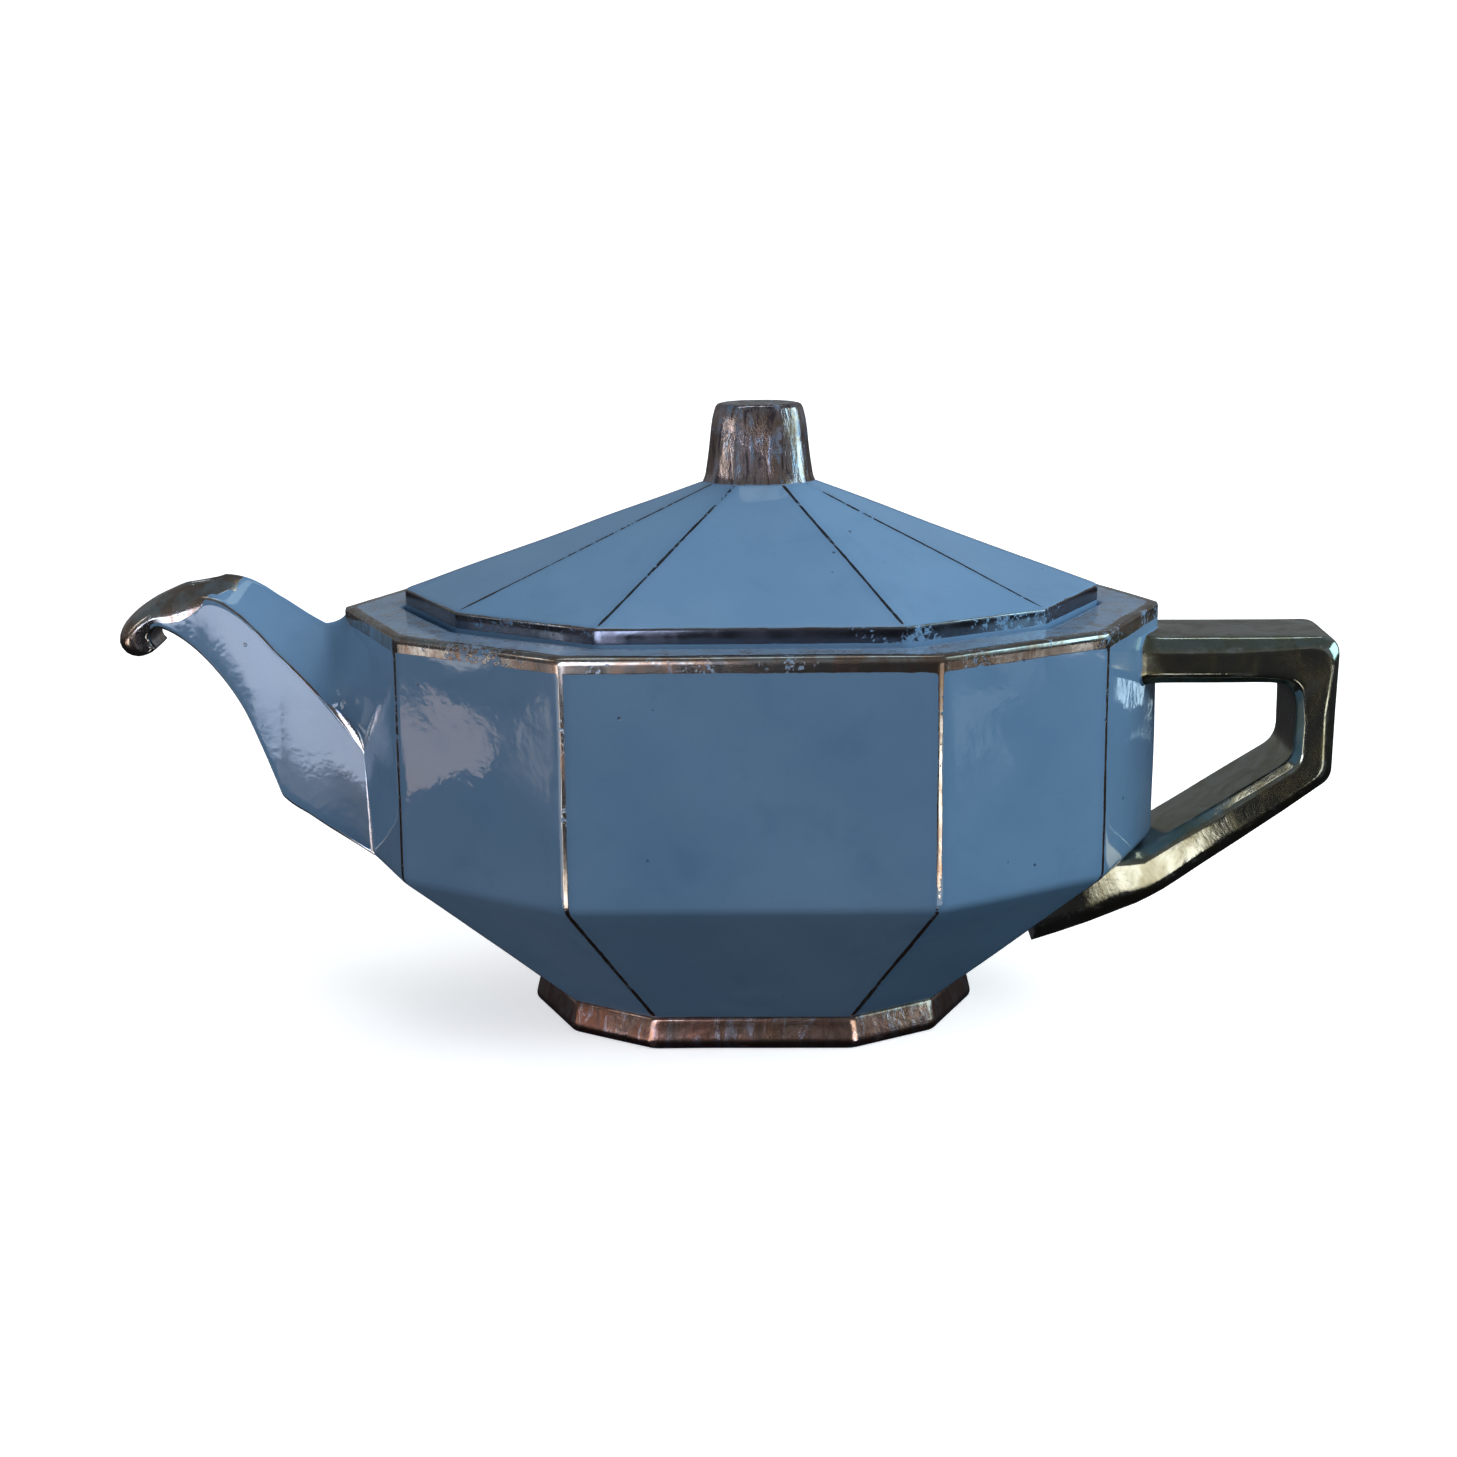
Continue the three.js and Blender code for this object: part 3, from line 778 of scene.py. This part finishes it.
class Nodes:
    """A short way of writing a material's nodes."""

    def __init__(self, name):
        self.material = bpy.data.materials.new(name)
        self.material.use_nodes = True
        self.tree = self.material.node_tree
        self.shader = self.tree.nodes["Principled BSDF"]
        self.where = self.add("ShaderNodeTexCoord").outputs["Object"]

    def add(self, kind, **inputs):
        return self.set(self.tree.nodes.new(kind), **inputs)

    def set(self, node, **inputs):
        for key, value in inputs.items():
            self.feed(node.inputs[key.replace("_", " ")], value)
        return node

    def feed(self, socket, value):
        if isinstance(value, bpy.types.NodeSocket):
            self.tree.links.new(value, socket)
        else:
            socket.default_value = value

    def attribute(self, name):
        node = self.add("ShaderNodeAttribute")
        node.attribute_name = name
        return node.outputs["Fac"]

    def noise(self, scale, detail=3.0, roughness=0.55, distortion=0.0, where=None):
        node = self.add("ShaderNodeTexNoise", Vector=where or self.where, Scale=scale, Detail=detail,
                        Roughness=roughness, Distortion=distortion)
        return node.outputs["Fac"]

    def stretched(self, x, y, z):
        node = self.add("ShaderNodeMapping", Vector=self.where)
        node.inputs["Scale"].default_value = (x, y, z)
        return node.outputs["Vector"]

    def maths(self, operation, a, b=0.0, c=0.0):
        node = self.add("ShaderNodeMath")
        node.operation = operation
        for socket, value in zip(node.inputs, (a, b, c)):
            self.feed(socket, value)
        return node.outputs["Value"]

    def times(self, a, b):
        return self.maths("MULTIPLY", a, b)

    def plus(self, a, b):
        return self.maths("ADD", a, b)

    def between(self, value, low, high, out_low=0.0, out_high=1.0):
        node = self.add("ShaderNodeMapRange", Value=value)
        node.interpolation_type = "SMOOTHSTEP"
        for key, number in zip(("From Min", "From Max", "To Min", "To Max"), (low, high, out_low, out_high)):
            self.feed(node.inputs[key], number)
        return node.outputs["Result"]

    def mix(self, factor, a, b):
        node = self.add("ShaderNodeMix")
        node.data_type = "RGBA"
        self.feed(node.inputs[0], factor)
        for socket, value in ((node.inputs[6], a), (node.inputs[7], b)):
            self.feed(socket, (*value, 1.0) if isinstance(value, tuple) else value)
        return node.outputs[2]

    def number_mix(self, factor, a, b):
        node = self.add("ShaderNodeMix")
        for socket, value in ((node.inputs[0], factor), (node.inputs[2], a), (node.inputs[3], b)):
            self.feed(socket, value)
        return node.outputs[0]

    def bump(self, height, distance, strength=1.0, under=None):
        node = self.add("ShaderNodeBump", Height=height, Strength=strength, Distance=distance)
        if under:
            self.feed(node.inputs["Normal"], under)
        return node.outputs["Normal"]


GLAZE_BLUE = (0.138, 0.265, 0.425)
GLAZE_DEEP = (0.10, 0.205, 0.35)
GLAZE_PALE = (0.165, 0.297, 0.46)
LUSTRE_SILVER = (0.47, 0.455, 0.43)
LUSTRE_BRONZE = (0.36, 0.25, 0.185)
LUSTRE_DARK = (0.19, 0.185, 0.19)
GLAZE_IOR = 1.52


def fired_glaze(name, wear=0.0, line_wobble=0.16, line_breaks=0.0, lines_painted_dark_reflection=0.0, film_above=0.0,
                band_painted_dark_reflection=0.0):
    """Blue glaze over earthenware, with platinum lustre painted where lustre_edge is negative.

    wear: how much lustre is rubbed off. line_wobble: unevenness of its edges. line_breaks: gaps in
    the lines near the knob. lines_painted_dark_reflection: how far the lid's lustre lines are painted near
    black, a
    painted dark reflection. film_above: the height above which a thin film of lustre lies on the
    glaze. band_painted_dark_reflection: how far the lid's lustre band is painted dark blue, a painted dark
    reflection."""
    n = Nodes(name)
    clouds = n.noise(22.0, 3.0, 0.6)
    drift = n.noise(75.0, 4.0, 0.6, 0.4)
    grain = n.noise(1500.0, 2.0, 0.6)
    blue = n.mix(n.between(clouds, 0.32, 0.7), GLAZE_BLUE, GLAZE_PALE)
    blue = n.mix(n.between(drift, 0.5, 0.78, 0.0, 0.35), blue, GLAZE_DEEP)
    corner = n.attribute("edge_gap")
    blue = n.mix(n.between(corner, 0.2, 2.6, 0.28, 0.0), blue, GLAZE_DEEP)
    blue = n.mix(n.between(grain, 0.55, 0.8, 0.0, 0.22), blue, GLAZE_DEEP)
    specks = n.add("ShaderNodeTexVoronoi", Vector=n.where, Scale=170.0, Randomness=1.0)
    few = n.noise(60.0, 1.0)
    speck = n.times(n.between(specks.outputs["Distance"], 0.05, 0.085, 1.0, 0.0),
                    n.between(few, 0.60, 0.64))
    blue = n.mix(n.times(speck, 0.8), blue, (0.02, 0.03, 0.05))

    wobble = n.maths("SUBTRACT", n.noise(420.0, 3.0, 0.6), 0.5)
    slow_wobble = n.maths("SUBTRACT", n.noise(130.0, 1.0), 0.5)
    edge = n.plus(n.attribute("lustre_edge"), n.times(wobble, line_wobble * 2.2))
    edge = n.plus(edge, n.times(slow_wobble, line_wobble * 2.0))
    lustre = n.between(edge, -0.09, 0.09, 1.0, 0.0)
    rubbed = n.noise(900.0, 3.0, 0.75)
    patches = n.noise(55.0, 3.0, 0.6)
    worn = n.between(n.plus(n.times(rubbed, 0.8), patches), 1.02 - wear * 0.2,
                     1.10 - wear * 0.2)
    lustre = n.times(lustre, n.maths("SUBTRACT", 1.0, worn))
    height = n.add("ShaderNodeSeparateXYZ", Vector=n.where).outputs["Z"]
    if film_above:
        mottle = n.between(n.noise(240.0, 4.0, 0.6), 0.42, 0.68)
        film = n.times(n.between(height, film_above - 0.0003, film_above),
                       n.maths("MULTIPLY_ADD", mottle, 0.30, 0.14))
        lustre = n.maths("MAXIMUM", lustre, film)
    if line_breaks:
        gaps = n.between(n.noise(260.0, 3.0, 0.7), 0.56, 0.62)
        broken = n.times(gaps, n.times(n.between(height, 0.100, 0.120), line_breaks))
        lustre = n.times(lustre, n.maths("SUBTRACT", 1.0, broken))
    streaks = n.noise(160.0, 4.0, 0.65, 0.6, n.stretched(1.0, 1.0, 0.45))
    metal = n.mix(n.between(streaks, 0.38, 0.64), LUSTRE_SILVER, LUSTRE_BRONZE)
    metal = n.mix(n.between(n.noise(85.0, 3.0), 0.56, 0.72, 0.0, 0.6), metal, LUSTRE_DARK)
    # Painted dark reflection: below the lid's edge the lustre band is painted dark blue-black, standing in
    # for the dark surroundings it reflects.
    if band_painted_dark_reflection:
        low = n.between(height, (LID_EDGE_Z - 0.6) * MM, LID_EDGE_Z * MM, band_painted_dark_reflection, 0.0)
        metal = n.mix(low, metal, (0.075, 0.095, 0.14))
    # Painted dark reflection: above the lid's edge the lustre lines are painted near black, standing in for
    # the dark surroundings they reflect.
    if lines_painted_dark_reflection:
        metal = n.mix(n.between(height, (LID_EDGE_Z + 0.2) * MM, (LID_EDGE_Z + 0.6) * MM, 0.0, lines_painted_dark_reflection),
                      metal, (0.05, 0.055, 0.07))
    smear = n.noise(35.0, 4.0, 0.6, 0.8)
    glaze_rough = n.between(smear, 0.35, 0.75, 0.035, 0.10)
    lustre_rough = n.between(streaks, 0.3, 0.75, 0.10, 0.24)
    skin = n.plus(n.times(n.noise(260.0, 2.0), 0.55), n.times(drift, 0.9))
    normal = n.bump(skin, 0.00008, 0.45)
    normal = n.bump(n.plus(lustre, n.times(speck, -1.5)), 0.00003, 0.6, normal)
    n.set(n.shader, Base_Color=n.mix(lustre, blue, metal), Metallic=lustre, Normal=normal,
          Roughness=n.number_mix(lustre, glaze_rough, lustre_rough), IOR=GLAZE_IOR)
    return n.material


def platinum_lustre(name, warm=0.5, worn=0.35, dusty=0.2, silver=LUSTRE_SILVER, bronze=LUSTRE_BRONZE,
                    upright_streaks=0.0, hammered=0.55):
    """Platinum lustre all over a glazed moulding, worn to the blue glaze here and there.

    warm, worn, dusty: how much tarnish, wear and dust shows. silver, bronze: its two colours.
    runs: how strongly light bluish and dark upright streaks show in the metal's colour and bump.
    hammered: how uneven the surface is."""
    n = Nodes(name)
    wobble = n.maths("SUBTRACT", n.noise(300.0, 3.0, 0.6), 0.5)
    edge = n.plus(n.attribute("lustre_edge"), n.times(wobble, 0.7))
    lustre = n.between(edge, -0.12, 0.12, 1.0, 0.0)
    flow = n.noise(95.0, 4.0, 0.62, 1.2, n.stretched(1.0, 1.0, 0.6))
    tarnish = n.noise(38.0, 3.0, 0.6, 0.4)
    rub = n.noise(240.0, 5.0, 0.72)
    metal = n.mix(n.between(flow, 0.36, 0.66), silver, bronze)
    metal = n.mix(n.between(tarnish, 0.44, 0.72, 0.0, warm), metal, (0.26, 0.18, 0.12))
    metal = n.mix(n.between(rub, 0.52, 0.75, 0.0, dusty), metal, (0.46, 0.42, 0.38))
    down = n.noise(420.0, 4.0, 0.7, 0.8, n.stretched(1.0, 1.0, 0.16))
    # Light bluish and dark upright streaks mixed into the metal's colour.
    if upright_streaks:
        metal = n.mix(n.between(down, 0.51, 0.62, 0.0, upright_streaks), metal, (0.48, 0.58, 0.74))
        metal = n.mix(n.between(down, 0.47, 0.38, 0.0, upright_streaks), metal, (0.12, 0.095, 0.12))
    corner = n.attribute("edge_gap")
    bare = n.times(n.between(corner, 0.15, 1.1, 1.0, 0.0), n.between(rub, 0.50, 0.60))
    thin = n.plus(n.noise(120.0, 4.0, 0.7), n.times(tarnish, 0.5))
    patch = n.between(thin, 0.86, 0.93)
    bare = n.maths("MAXIMUM", bare, n.times(patch, 0.6))
    lustre = n.times(lustre, n.maths("SUBTRACT", 1.0, n.times(bare, worn)))
    blue = n.mix(n.noise(180.0, 3.0), GLAZE_DEEP, GLAZE_BLUE)
    skin = n.plus(n.times(n.noise(220.0, 3.0), 0.7), flow)
    normal = n.bump(skin, 0.00022, hammered)
    if upright_streaks:
        normal = n.bump(down, 0.00013, upright_streaks, normal)
    n.set(n.shader, Base_Color=n.mix(lustre, blue, metal), Metallic=lustre, Normal=normal,
          Roughness=n.between(flow, 0.3, 0.75, 0.09, 0.26), IOR=GLAZE_IOR)
    return n.material


# ---- floor, light and camera


FLOOR_GLOW = 0.62
WALL_GLOW = 1.15
SWEEP_FLAT = 2.2
SWEEP_CURVE = 0.9
SWEEP_TOP = 5.0
SWEEP_SIDES = 72
SWEEP_BENDS = 20

# The dome's colours, from straight down at 0 to straight up at 1.
DOME = [
    (0.0, (0.012, 0.012, 0.014)),
    (0.34, (0.02, 0.021, 0.025)),
    (0.47, (0.065, 0.066, 0.072)),
    (0.52, (0.20, 0.21, 0.22)),
    (0.75, (0.15, 0.175, 0.195)),
    (1.0, (0.12, 0.16, 0.20)),
]
# Name, place, aim, size, power, colour, and the rays that see it.
LIGHTS = [
    ("key_softbox", (0.70, -0.78, 1.0), (0.0, 0.0, 0.06), (1.0, 0.9), 11.3, (0.99, 0.96, 1.0), "diffuse"),
    ("overhead_strip", (0.12, -0.10, 1.35), (0.0, 0.0, 0.06), (1.3, 0.16), 1.7, (0.80, 0.95, 1.0), "all"),
    ("right_softbox", (1.45, -0.10, 0.42), (0.0, 0.0, 0.07), (0.9, 0.8), 8.6, (0.50, 0.86, 1.0), "all"),
    ("left_fill", (-1.1, -0.5, -0.36), (-0.02, 0.0, 0.06), (1.0, 0.9), 5.0, (1.0, 0.90, 0.92), "diffuse"),
    ("floor_wash", (0.2, 1.4, 1.9), (0.0, 1.2, 0.0), (2.5, 1.0), 22.0, (1, 1, 1), "diffuse"),
]

# Outlines of the cards near the pot, in millimetres. Only the glaze and the lustre reflect them.
WINDOW_OUTLINE = [
    (-114, -10), (-84, -3), (-69, -8), (-34, -6), (15, -4), (45, 5), (94, 10), (146, 24), (146, 55),
    (100, 75), (0, 75), (-50, 50), (-114, 30),
]
WARM_WALL_OUTLINE = [
    (-10, -20), (-2, -24), (15, -15), (58, -6), (98, 2), (132, 12), (120, 18), (94, 10), (45, 5),
    (15, -4), (-2, -5),
]
CLOUD_OUTLINE = [
    (-12, 18.5), (3, 18), (11, 16.5), (12, 18.5), (14.5, 15), (20.5, 13), (27, 7), (35, 5), (38.5, -1.5),
    (42.5, -5.5), (38, -10.5), (32, -6.5), (23, -10), (15, -14), (5.5, -18.5), (-14, -23),
]
EDGE_CLOUD_OUTLINE = [(-3, 0), (-5.5, 6), (-3, 11.5), (7, 13), (5.5, 3), (6, -9), (2, -11), (0, -4)]
PANE_OUTLINE = [(-3, 5), (2.5, 5.5), (4, -2.5), (-2.5, -4)]
CRESCENT_OUTLINE = [(-5, -7), (-2.5, 1), (2.5, 7), (9, 7.5), (-2, 0), (-7, -9)]
HAZE_OUTLINE = [(-25, 16), (6, 13), (20, 10), (9, 5), (-5, -1.5), (-2.5, -12), (1, -18.5), (-7.5, -20)]
GLINT_OUTLINE = [(-7.5, 3.5), (2.5, 1), (7, -2), (4, -3), (-5.5, 1)]
STRUT_OUTLINE = [(-100, -160), (-65, -175), (100, 160), (65, 175)]


def box_outline(width, height):
    x, y = width / 2, height / 2
    return [(-x, -y), (x, -y), (x, y), (-x, y)]


# Name, centre, facing, outline, colour, strength.
REFLECTORS = [
    ("left_window", (-0.166, -0.332, 0.037), (0.20, 0.97, 0.10), WINDOW_OUTLINE, (0.72, 0.79, 1.0), 8.0),
    ("warm_wall", (-0.166, -0.331, 0.037), (0.20, 0.97, 0.10), WARM_WALL_OUTLINE, (1.0, 0.75, 0.6), 1.1),
    ("cloud", (-0.385, -0.130, -0.012), (0.937, 0.253, 0.239), CLOUD_OUTLINE, (1.0, 0.72, 0.60), 2.6),
    ("edge_cloud", (-0.354, -0.175, -0.013), (0.906, 0.344, 0.245),
     EDGE_CLOUD_OUTLINE, (1.0, 0.78, 0.7), 2.0),
    ("left_line", (-0.506, -0.393, -0.08), (0.79, 0.56, 0.25),
     box_outline(130, 150), (1.0, 0.97, 0.93), 3.2),
    ("left_haze", (-0.565, -0.31, -0.06), (0.87, 0.42, 0.2), box_outline(40, 100), (0.8, 0.8, 1.0), 1.2),
    ("left_rim_glint", (-0.384, -0.149, 0.0215), (0.93, 0.31, 0.19),
     box_outline(50, 6), (1, 0.95, 0.9), 3.5),
    ("right_pane", (0.310, 0.242, -0.002), (-0.634, -0.742, 0.219), PANE_OUTLINE, (0.6, 0.85, 1.0), 2.6),
    ("right_crescent", (0.311, 0.257, -0.013), (-0.622, -0.749, 0.228),
     CRESCENT_OUTLINE, (0.6, 0.88, 1.0), 2.4),
    ("right_haze", (0.509, -0.219, -0.041), (-0.911, 0.337, 0.237), HAZE_OUTLINE, (0.85, 0.92, 1.0), 1.0),
    ("right_glint", (0.521, -0.209, -0.025), (-0.920, 0.325, 0.222),
     GLINT_OUTLINE, (0.85, 0.92, 1.0), 1.8),
    ("right_line", (0.435, -0.49, -0.115), (-0.65, 0.72, 0.25),
     box_outline(220, 110), (1.0, 0.98, 0.88), 3.0),
    ("strut_line", (-0.20, -0.21, 0.63), (0.45, 0.29, -0.82), STRUT_OUTLINE, (1.0, 0.98, 0.94), 3.5),
    ("knob_glint", (-0.314, -0.157, 0.152), (0.898, 0.434, -0.066),
     box_outline(14, 80), (1.0, 0.95, 0.86), 4.0),
    ("foot_left_glint", (-0.093, -0.126, 0.005), (0.64, 0.768, 0.0),
     box_outline(52, 24), (1.0, 0.97, 0.92), 3.2),
    ("foot_right_glint", (0.104, -0.126, 0.005), (-0.64, 0.768, 0.0),
     box_outline(52, 24), (1.0, 0.97, 0.92), 3.2),
    ("right_rim_glint", (0.38, -0.153, 0.0185), (-0.92, 0.32, 0.2),
     box_outline(100, 3), (1, 0.95, 0.88), 3.5),
]

# How far a card's colour drifts towards a cooler one across it.
CARD_DRIFT = 0.3
CARD_COOL = (0.9, 0.93, 1.0)


def pale_paper():
    n = Nodes("pale_paper")
    shade = n.mix(n.noise(3.0, 4.0), (0.86, 0.86, 0.86), (0.89, 0.89, 0.89))
    grain = n.bump(n.noise(900.0, 2.0), 0.0001, 0.2)
    height = n.add("ShaderNodeSeparateXYZ", Vector=n.where).outputs["Z"]
    glow = n.between(height, 0.0, SWEEP_CURVE, FLOOR_GLOW, WALL_GLOW)
    n.set(n.shader, Base_Color=shade, Roughness=0.9, Specular_IOR_Level=0.1, Normal=grain,
          Emission_Color=(1, 1, 1, 1), Emission_Strength=glow)
    return n.material


def sweep():
    """A pale floor that curves up into a wall all round."""
    path = [(r, 0.0) for r in (0.02, 0.3, 0.6, 1.0, 1.6, SWEEP_FLAT)]
    path += [(SWEEP_FLAT + SWEEP_CURVE * math.sin(a), SWEEP_CURVE * (1 - math.cos(a)))
             for a in np.linspace(0, math.pi / 2, SWEEP_BENDS)[1:]]
    path.append((SWEEP_FLAT + SWEEP_CURVE, SWEEP_TOP))
    angles = np.linspace(0, 2 * math.pi, SWEEP_SIDES, endpoint=False)
    rows = [(r * math.cos(a), r * math.sin(a), z) for r, z in path for a in angles]
    faces = grid_faces(len(path), SWEEP_SIDES) + [tuple(range(SWEEP_SIDES))]
    mesh = bpy.data.meshes.new("sweep")
    mesh.from_pydata(rows, [], faces)
    mesh.polygons.foreach_set("use_smooth", [True] * len(mesh.polygons))
    mesh.materials.append(pale_paper())
    floor = put_in_scene("sweep", mesh)
    floor.visible_glossy = False
    floor.visible_diffuse = False
    floor.visible_shadow = False


def dome():
    """A soft grey sky that is dark below."""
    world = bpy.data.worlds.new("dome")
    bpy.context.scene.world = world
    world.use_nodes = True
    tree = world.node_tree
    where = tree.nodes.new("ShaderNodeTexCoord").outputs["Generated"]
    parts = tree.nodes.new("ShaderNodeSeparateXYZ")
    tree.links.new(where, parts.inputs[0])
    lift = tree.nodes.new("ShaderNodeMapRange")
    lift.inputs["From Min"].default_value = -1
    lift.inputs["From Max"].default_value = 1
    tree.links.new(parts.outputs["Z"], lift.inputs["Value"])
    ramp = tree.nodes.new("ShaderNodeValToRGB")
    tree.links.new(lift.outputs["Result"], ramp.inputs["Fac"])
    stops = ramp.color_ramp.elements
    for stop, (place, colour) in zip(stops, (DOME[0], DOME[-1])):
        stop.position = place
        stop.color = (*colour, 1)
    for place, colour in DOME[1:-1]:
        stops.new(place).color = (*colour, 1)
    tree.links.new(ramp.outputs["Color"], tree.nodes["Background"].inputs["Color"])
    tree.nodes["Background"].inputs["Strength"].default_value = 1.0


def lamps():
    for name, place, aim, size, power, colour, seen_by in LIGHTS:
        lamp = bpy.data.lights.new(name, "AREA")
        lamp.shape = "RECTANGLE"
        lamp.size, lamp.size_y = size
        lamp.energy = power
        lamp.color = colour
        thing = put_in_scene(name, lamp)
        thing.location = place
        thing.rotation_euler = (Vector(aim) - Vector(place)).to_track_quat("-Z", "Y").to_euler()
        thing.visible_diffuse = True
        thing.visible_glossy = seen_by == "all"


def cards():
    """Glowing cards that stand for what the glaze reflects: a window, a cloud and bright edges."""
    for name, centre, facing, outline, colour, strength in REFLECTORS:
        facing = Vector(facing).normalized()
        across = facing.cross(Vector((0, 0, 1))).normalized()
        upright = across.cross(facing)
        points = [Vector(centre) + (across * a + upright * b) * MM for a, b in outline]
        mesh = bpy.data.meshes.new(name)
        mesh.from_pydata(points, [], [tuple(range(len(points)))])
        n = Nodes(name)
        drift = n.between(n.noise(40.0, 3.0), 0.3, 0.7, 0.0, CARD_DRIFT)
        n.set(n.shader, Base_Color=(0, 0, 0, 1), Emission_Color=n.mix(drift, colour, CARD_COOL),
              Emission_Strength=strength)
        mesh.materials.append(n.material)
        thing = put_in_scene(name, mesh)
        thing.visible_diffuse = False
        thing.visible_camera = False
        thing.visible_shadow = False


# The camera's distance from the pot's axis and height in metres, and its turns in radians.
LENS_IN_FRAME_WIDTHS = 1.71585
SENSOR = 36.0
CAMERA_DISTANCE = 0.54307
CAMERA_HEIGHT = 0.19460
CAMERA_PAN = -0.00952
CAMERA_PITCH = 0.23643
CAMERA_ROLL = 0.00872
CAMERA_YAW = -0.00212


def camera():
    flat_right = Vector((math.cos(CAMERA_PAN), -math.sin(CAMERA_PAN), 0))
    flat_ahead = Vector((math.sin(CAMERA_PAN), math.cos(CAMERA_PAN), 0))
    upright = Vector((0, 0, 1))
    ahead = flat_ahead * math.cos(CAMERA_PITCH) - upright * math.sin(CAMERA_PITCH)
    level_up = flat_ahead * math.sin(CAMERA_PITCH) + upright * math.cos(CAMERA_PITCH)
    right = flat_right * math.cos(CAMERA_ROLL) - level_up * math.sin(CAMERA_ROLL)
    up = flat_right * math.sin(CAMERA_ROLL) + level_up * math.cos(CAMERA_ROLL)
    turn = Matrix.Rotation(-CAMERA_YAW, 3, "Z")
    place = turn @ Vector((0, -CAMERA_DISTANCE, CAMERA_HEIGHT)) + Vector((AXIS_X * MM, 0, 0))
    axes = Matrix([turn @ right, turn @ up, -(turn @ ahead)]).transposed()
    lens = bpy.data.cameras.new("studio_camera")
    lens.sensor_width = SENSOR
    lens.lens = LENS_IN_FRAME_WIDTHS * SENSOR
    lens.clip_start = 0.01
    lens.dof.use_dof = False
    thing = put_in_scene("studio_camera", lens)
    thing.matrix_world = Matrix.Translation(place) @ axes.to_4x4()
    bpy.context.scene.camera = thing


# ---- putting it together


def finish_piece(piece, body, slot, material, *nodes):
    piece.data.materials.append(material)
    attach(piece, body)
    if nodes:
        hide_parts(*nodes)


bpy.context.scene.view_settings.view_transform = "Standard"
camera()
sweep()
dome()
lamps()
cards()

pot_glaze = fired_glaze("pot_glaze", wear=0.05, film_above=(RIM_Z - 0.25) * MM)
spout_glaze = fired_glaze("spout_glaze", wear=-0.6)
lip_lustre = fired_glaze("lip_lustre", wear=-0.6)
# The lid's lustre band and ridge lines are painted dark: painted dark reflections.
lid_glaze = fired_glaze("lid_glaze", wear=0.12, line_breaks=1.0, lines_painted_dark_reflection=0.8, band_painted_dark_reflection=0.88)
collar_glaze = fired_glaze("collar_glaze")
foot_lustre = platinum_lustre(
    "foot_lustre", warm=0.8, worn=0.25, dusty=0.15, silver=(0.45, 0.31, 0.26), bronze=(0.27, 0.135, 0.095),
    upright_streaks=0.35, hammered=0.5)
handle_lustre = platinum_lustre(
    "handle_lustre", warm=0.25, worn=0.2, dusty=0.15, silver=(0.36, 0.37, 0.31), bronze=(0.25, 0.235, 0.15),
    hammered=0.4)
knob_lustre = platinum_lustre(
    "knob_lustre", warm=0.4, worn=0.6, dusty=0.2, silver=(0.50, 0.42, 0.43), upright_streaks=0.9, hammered=0.4)

spout, lip = spout_pieces()
pot = pot_body()
cut_away(pot, *[strainer_cutter(y, z) for y in STRAINER_COLUMNS for z in STRAINER_ROWS])
finish_piece(pot, "pot", "body_glaze", pot_glaze, "body_shell", "gallery_rim")
finish_piece(foot_ring(), "pot", "foot_lustre", foot_lustre, "foot_ring")
finish_piece(spout, "pot", "spout_glaze", spout_glaze, "spout")
finish_piece(lip, "pot", "lip_lustre", lip_lustre, "spout_lip")
finish_piece(handle(), "pot", "handle_lustre", handle_lustre, "handle")
finish_piece(lid_cover(), "lid", "lid_glaze", lid_glaze, "lid_cover")
finish_piece(lid_flange(), "lid", "flange_glaze", collar_glaze, "lid_flange")
finish_piece(lid_knob(), "lid", "knob_lustre", knob_lustre, "lid_knob")
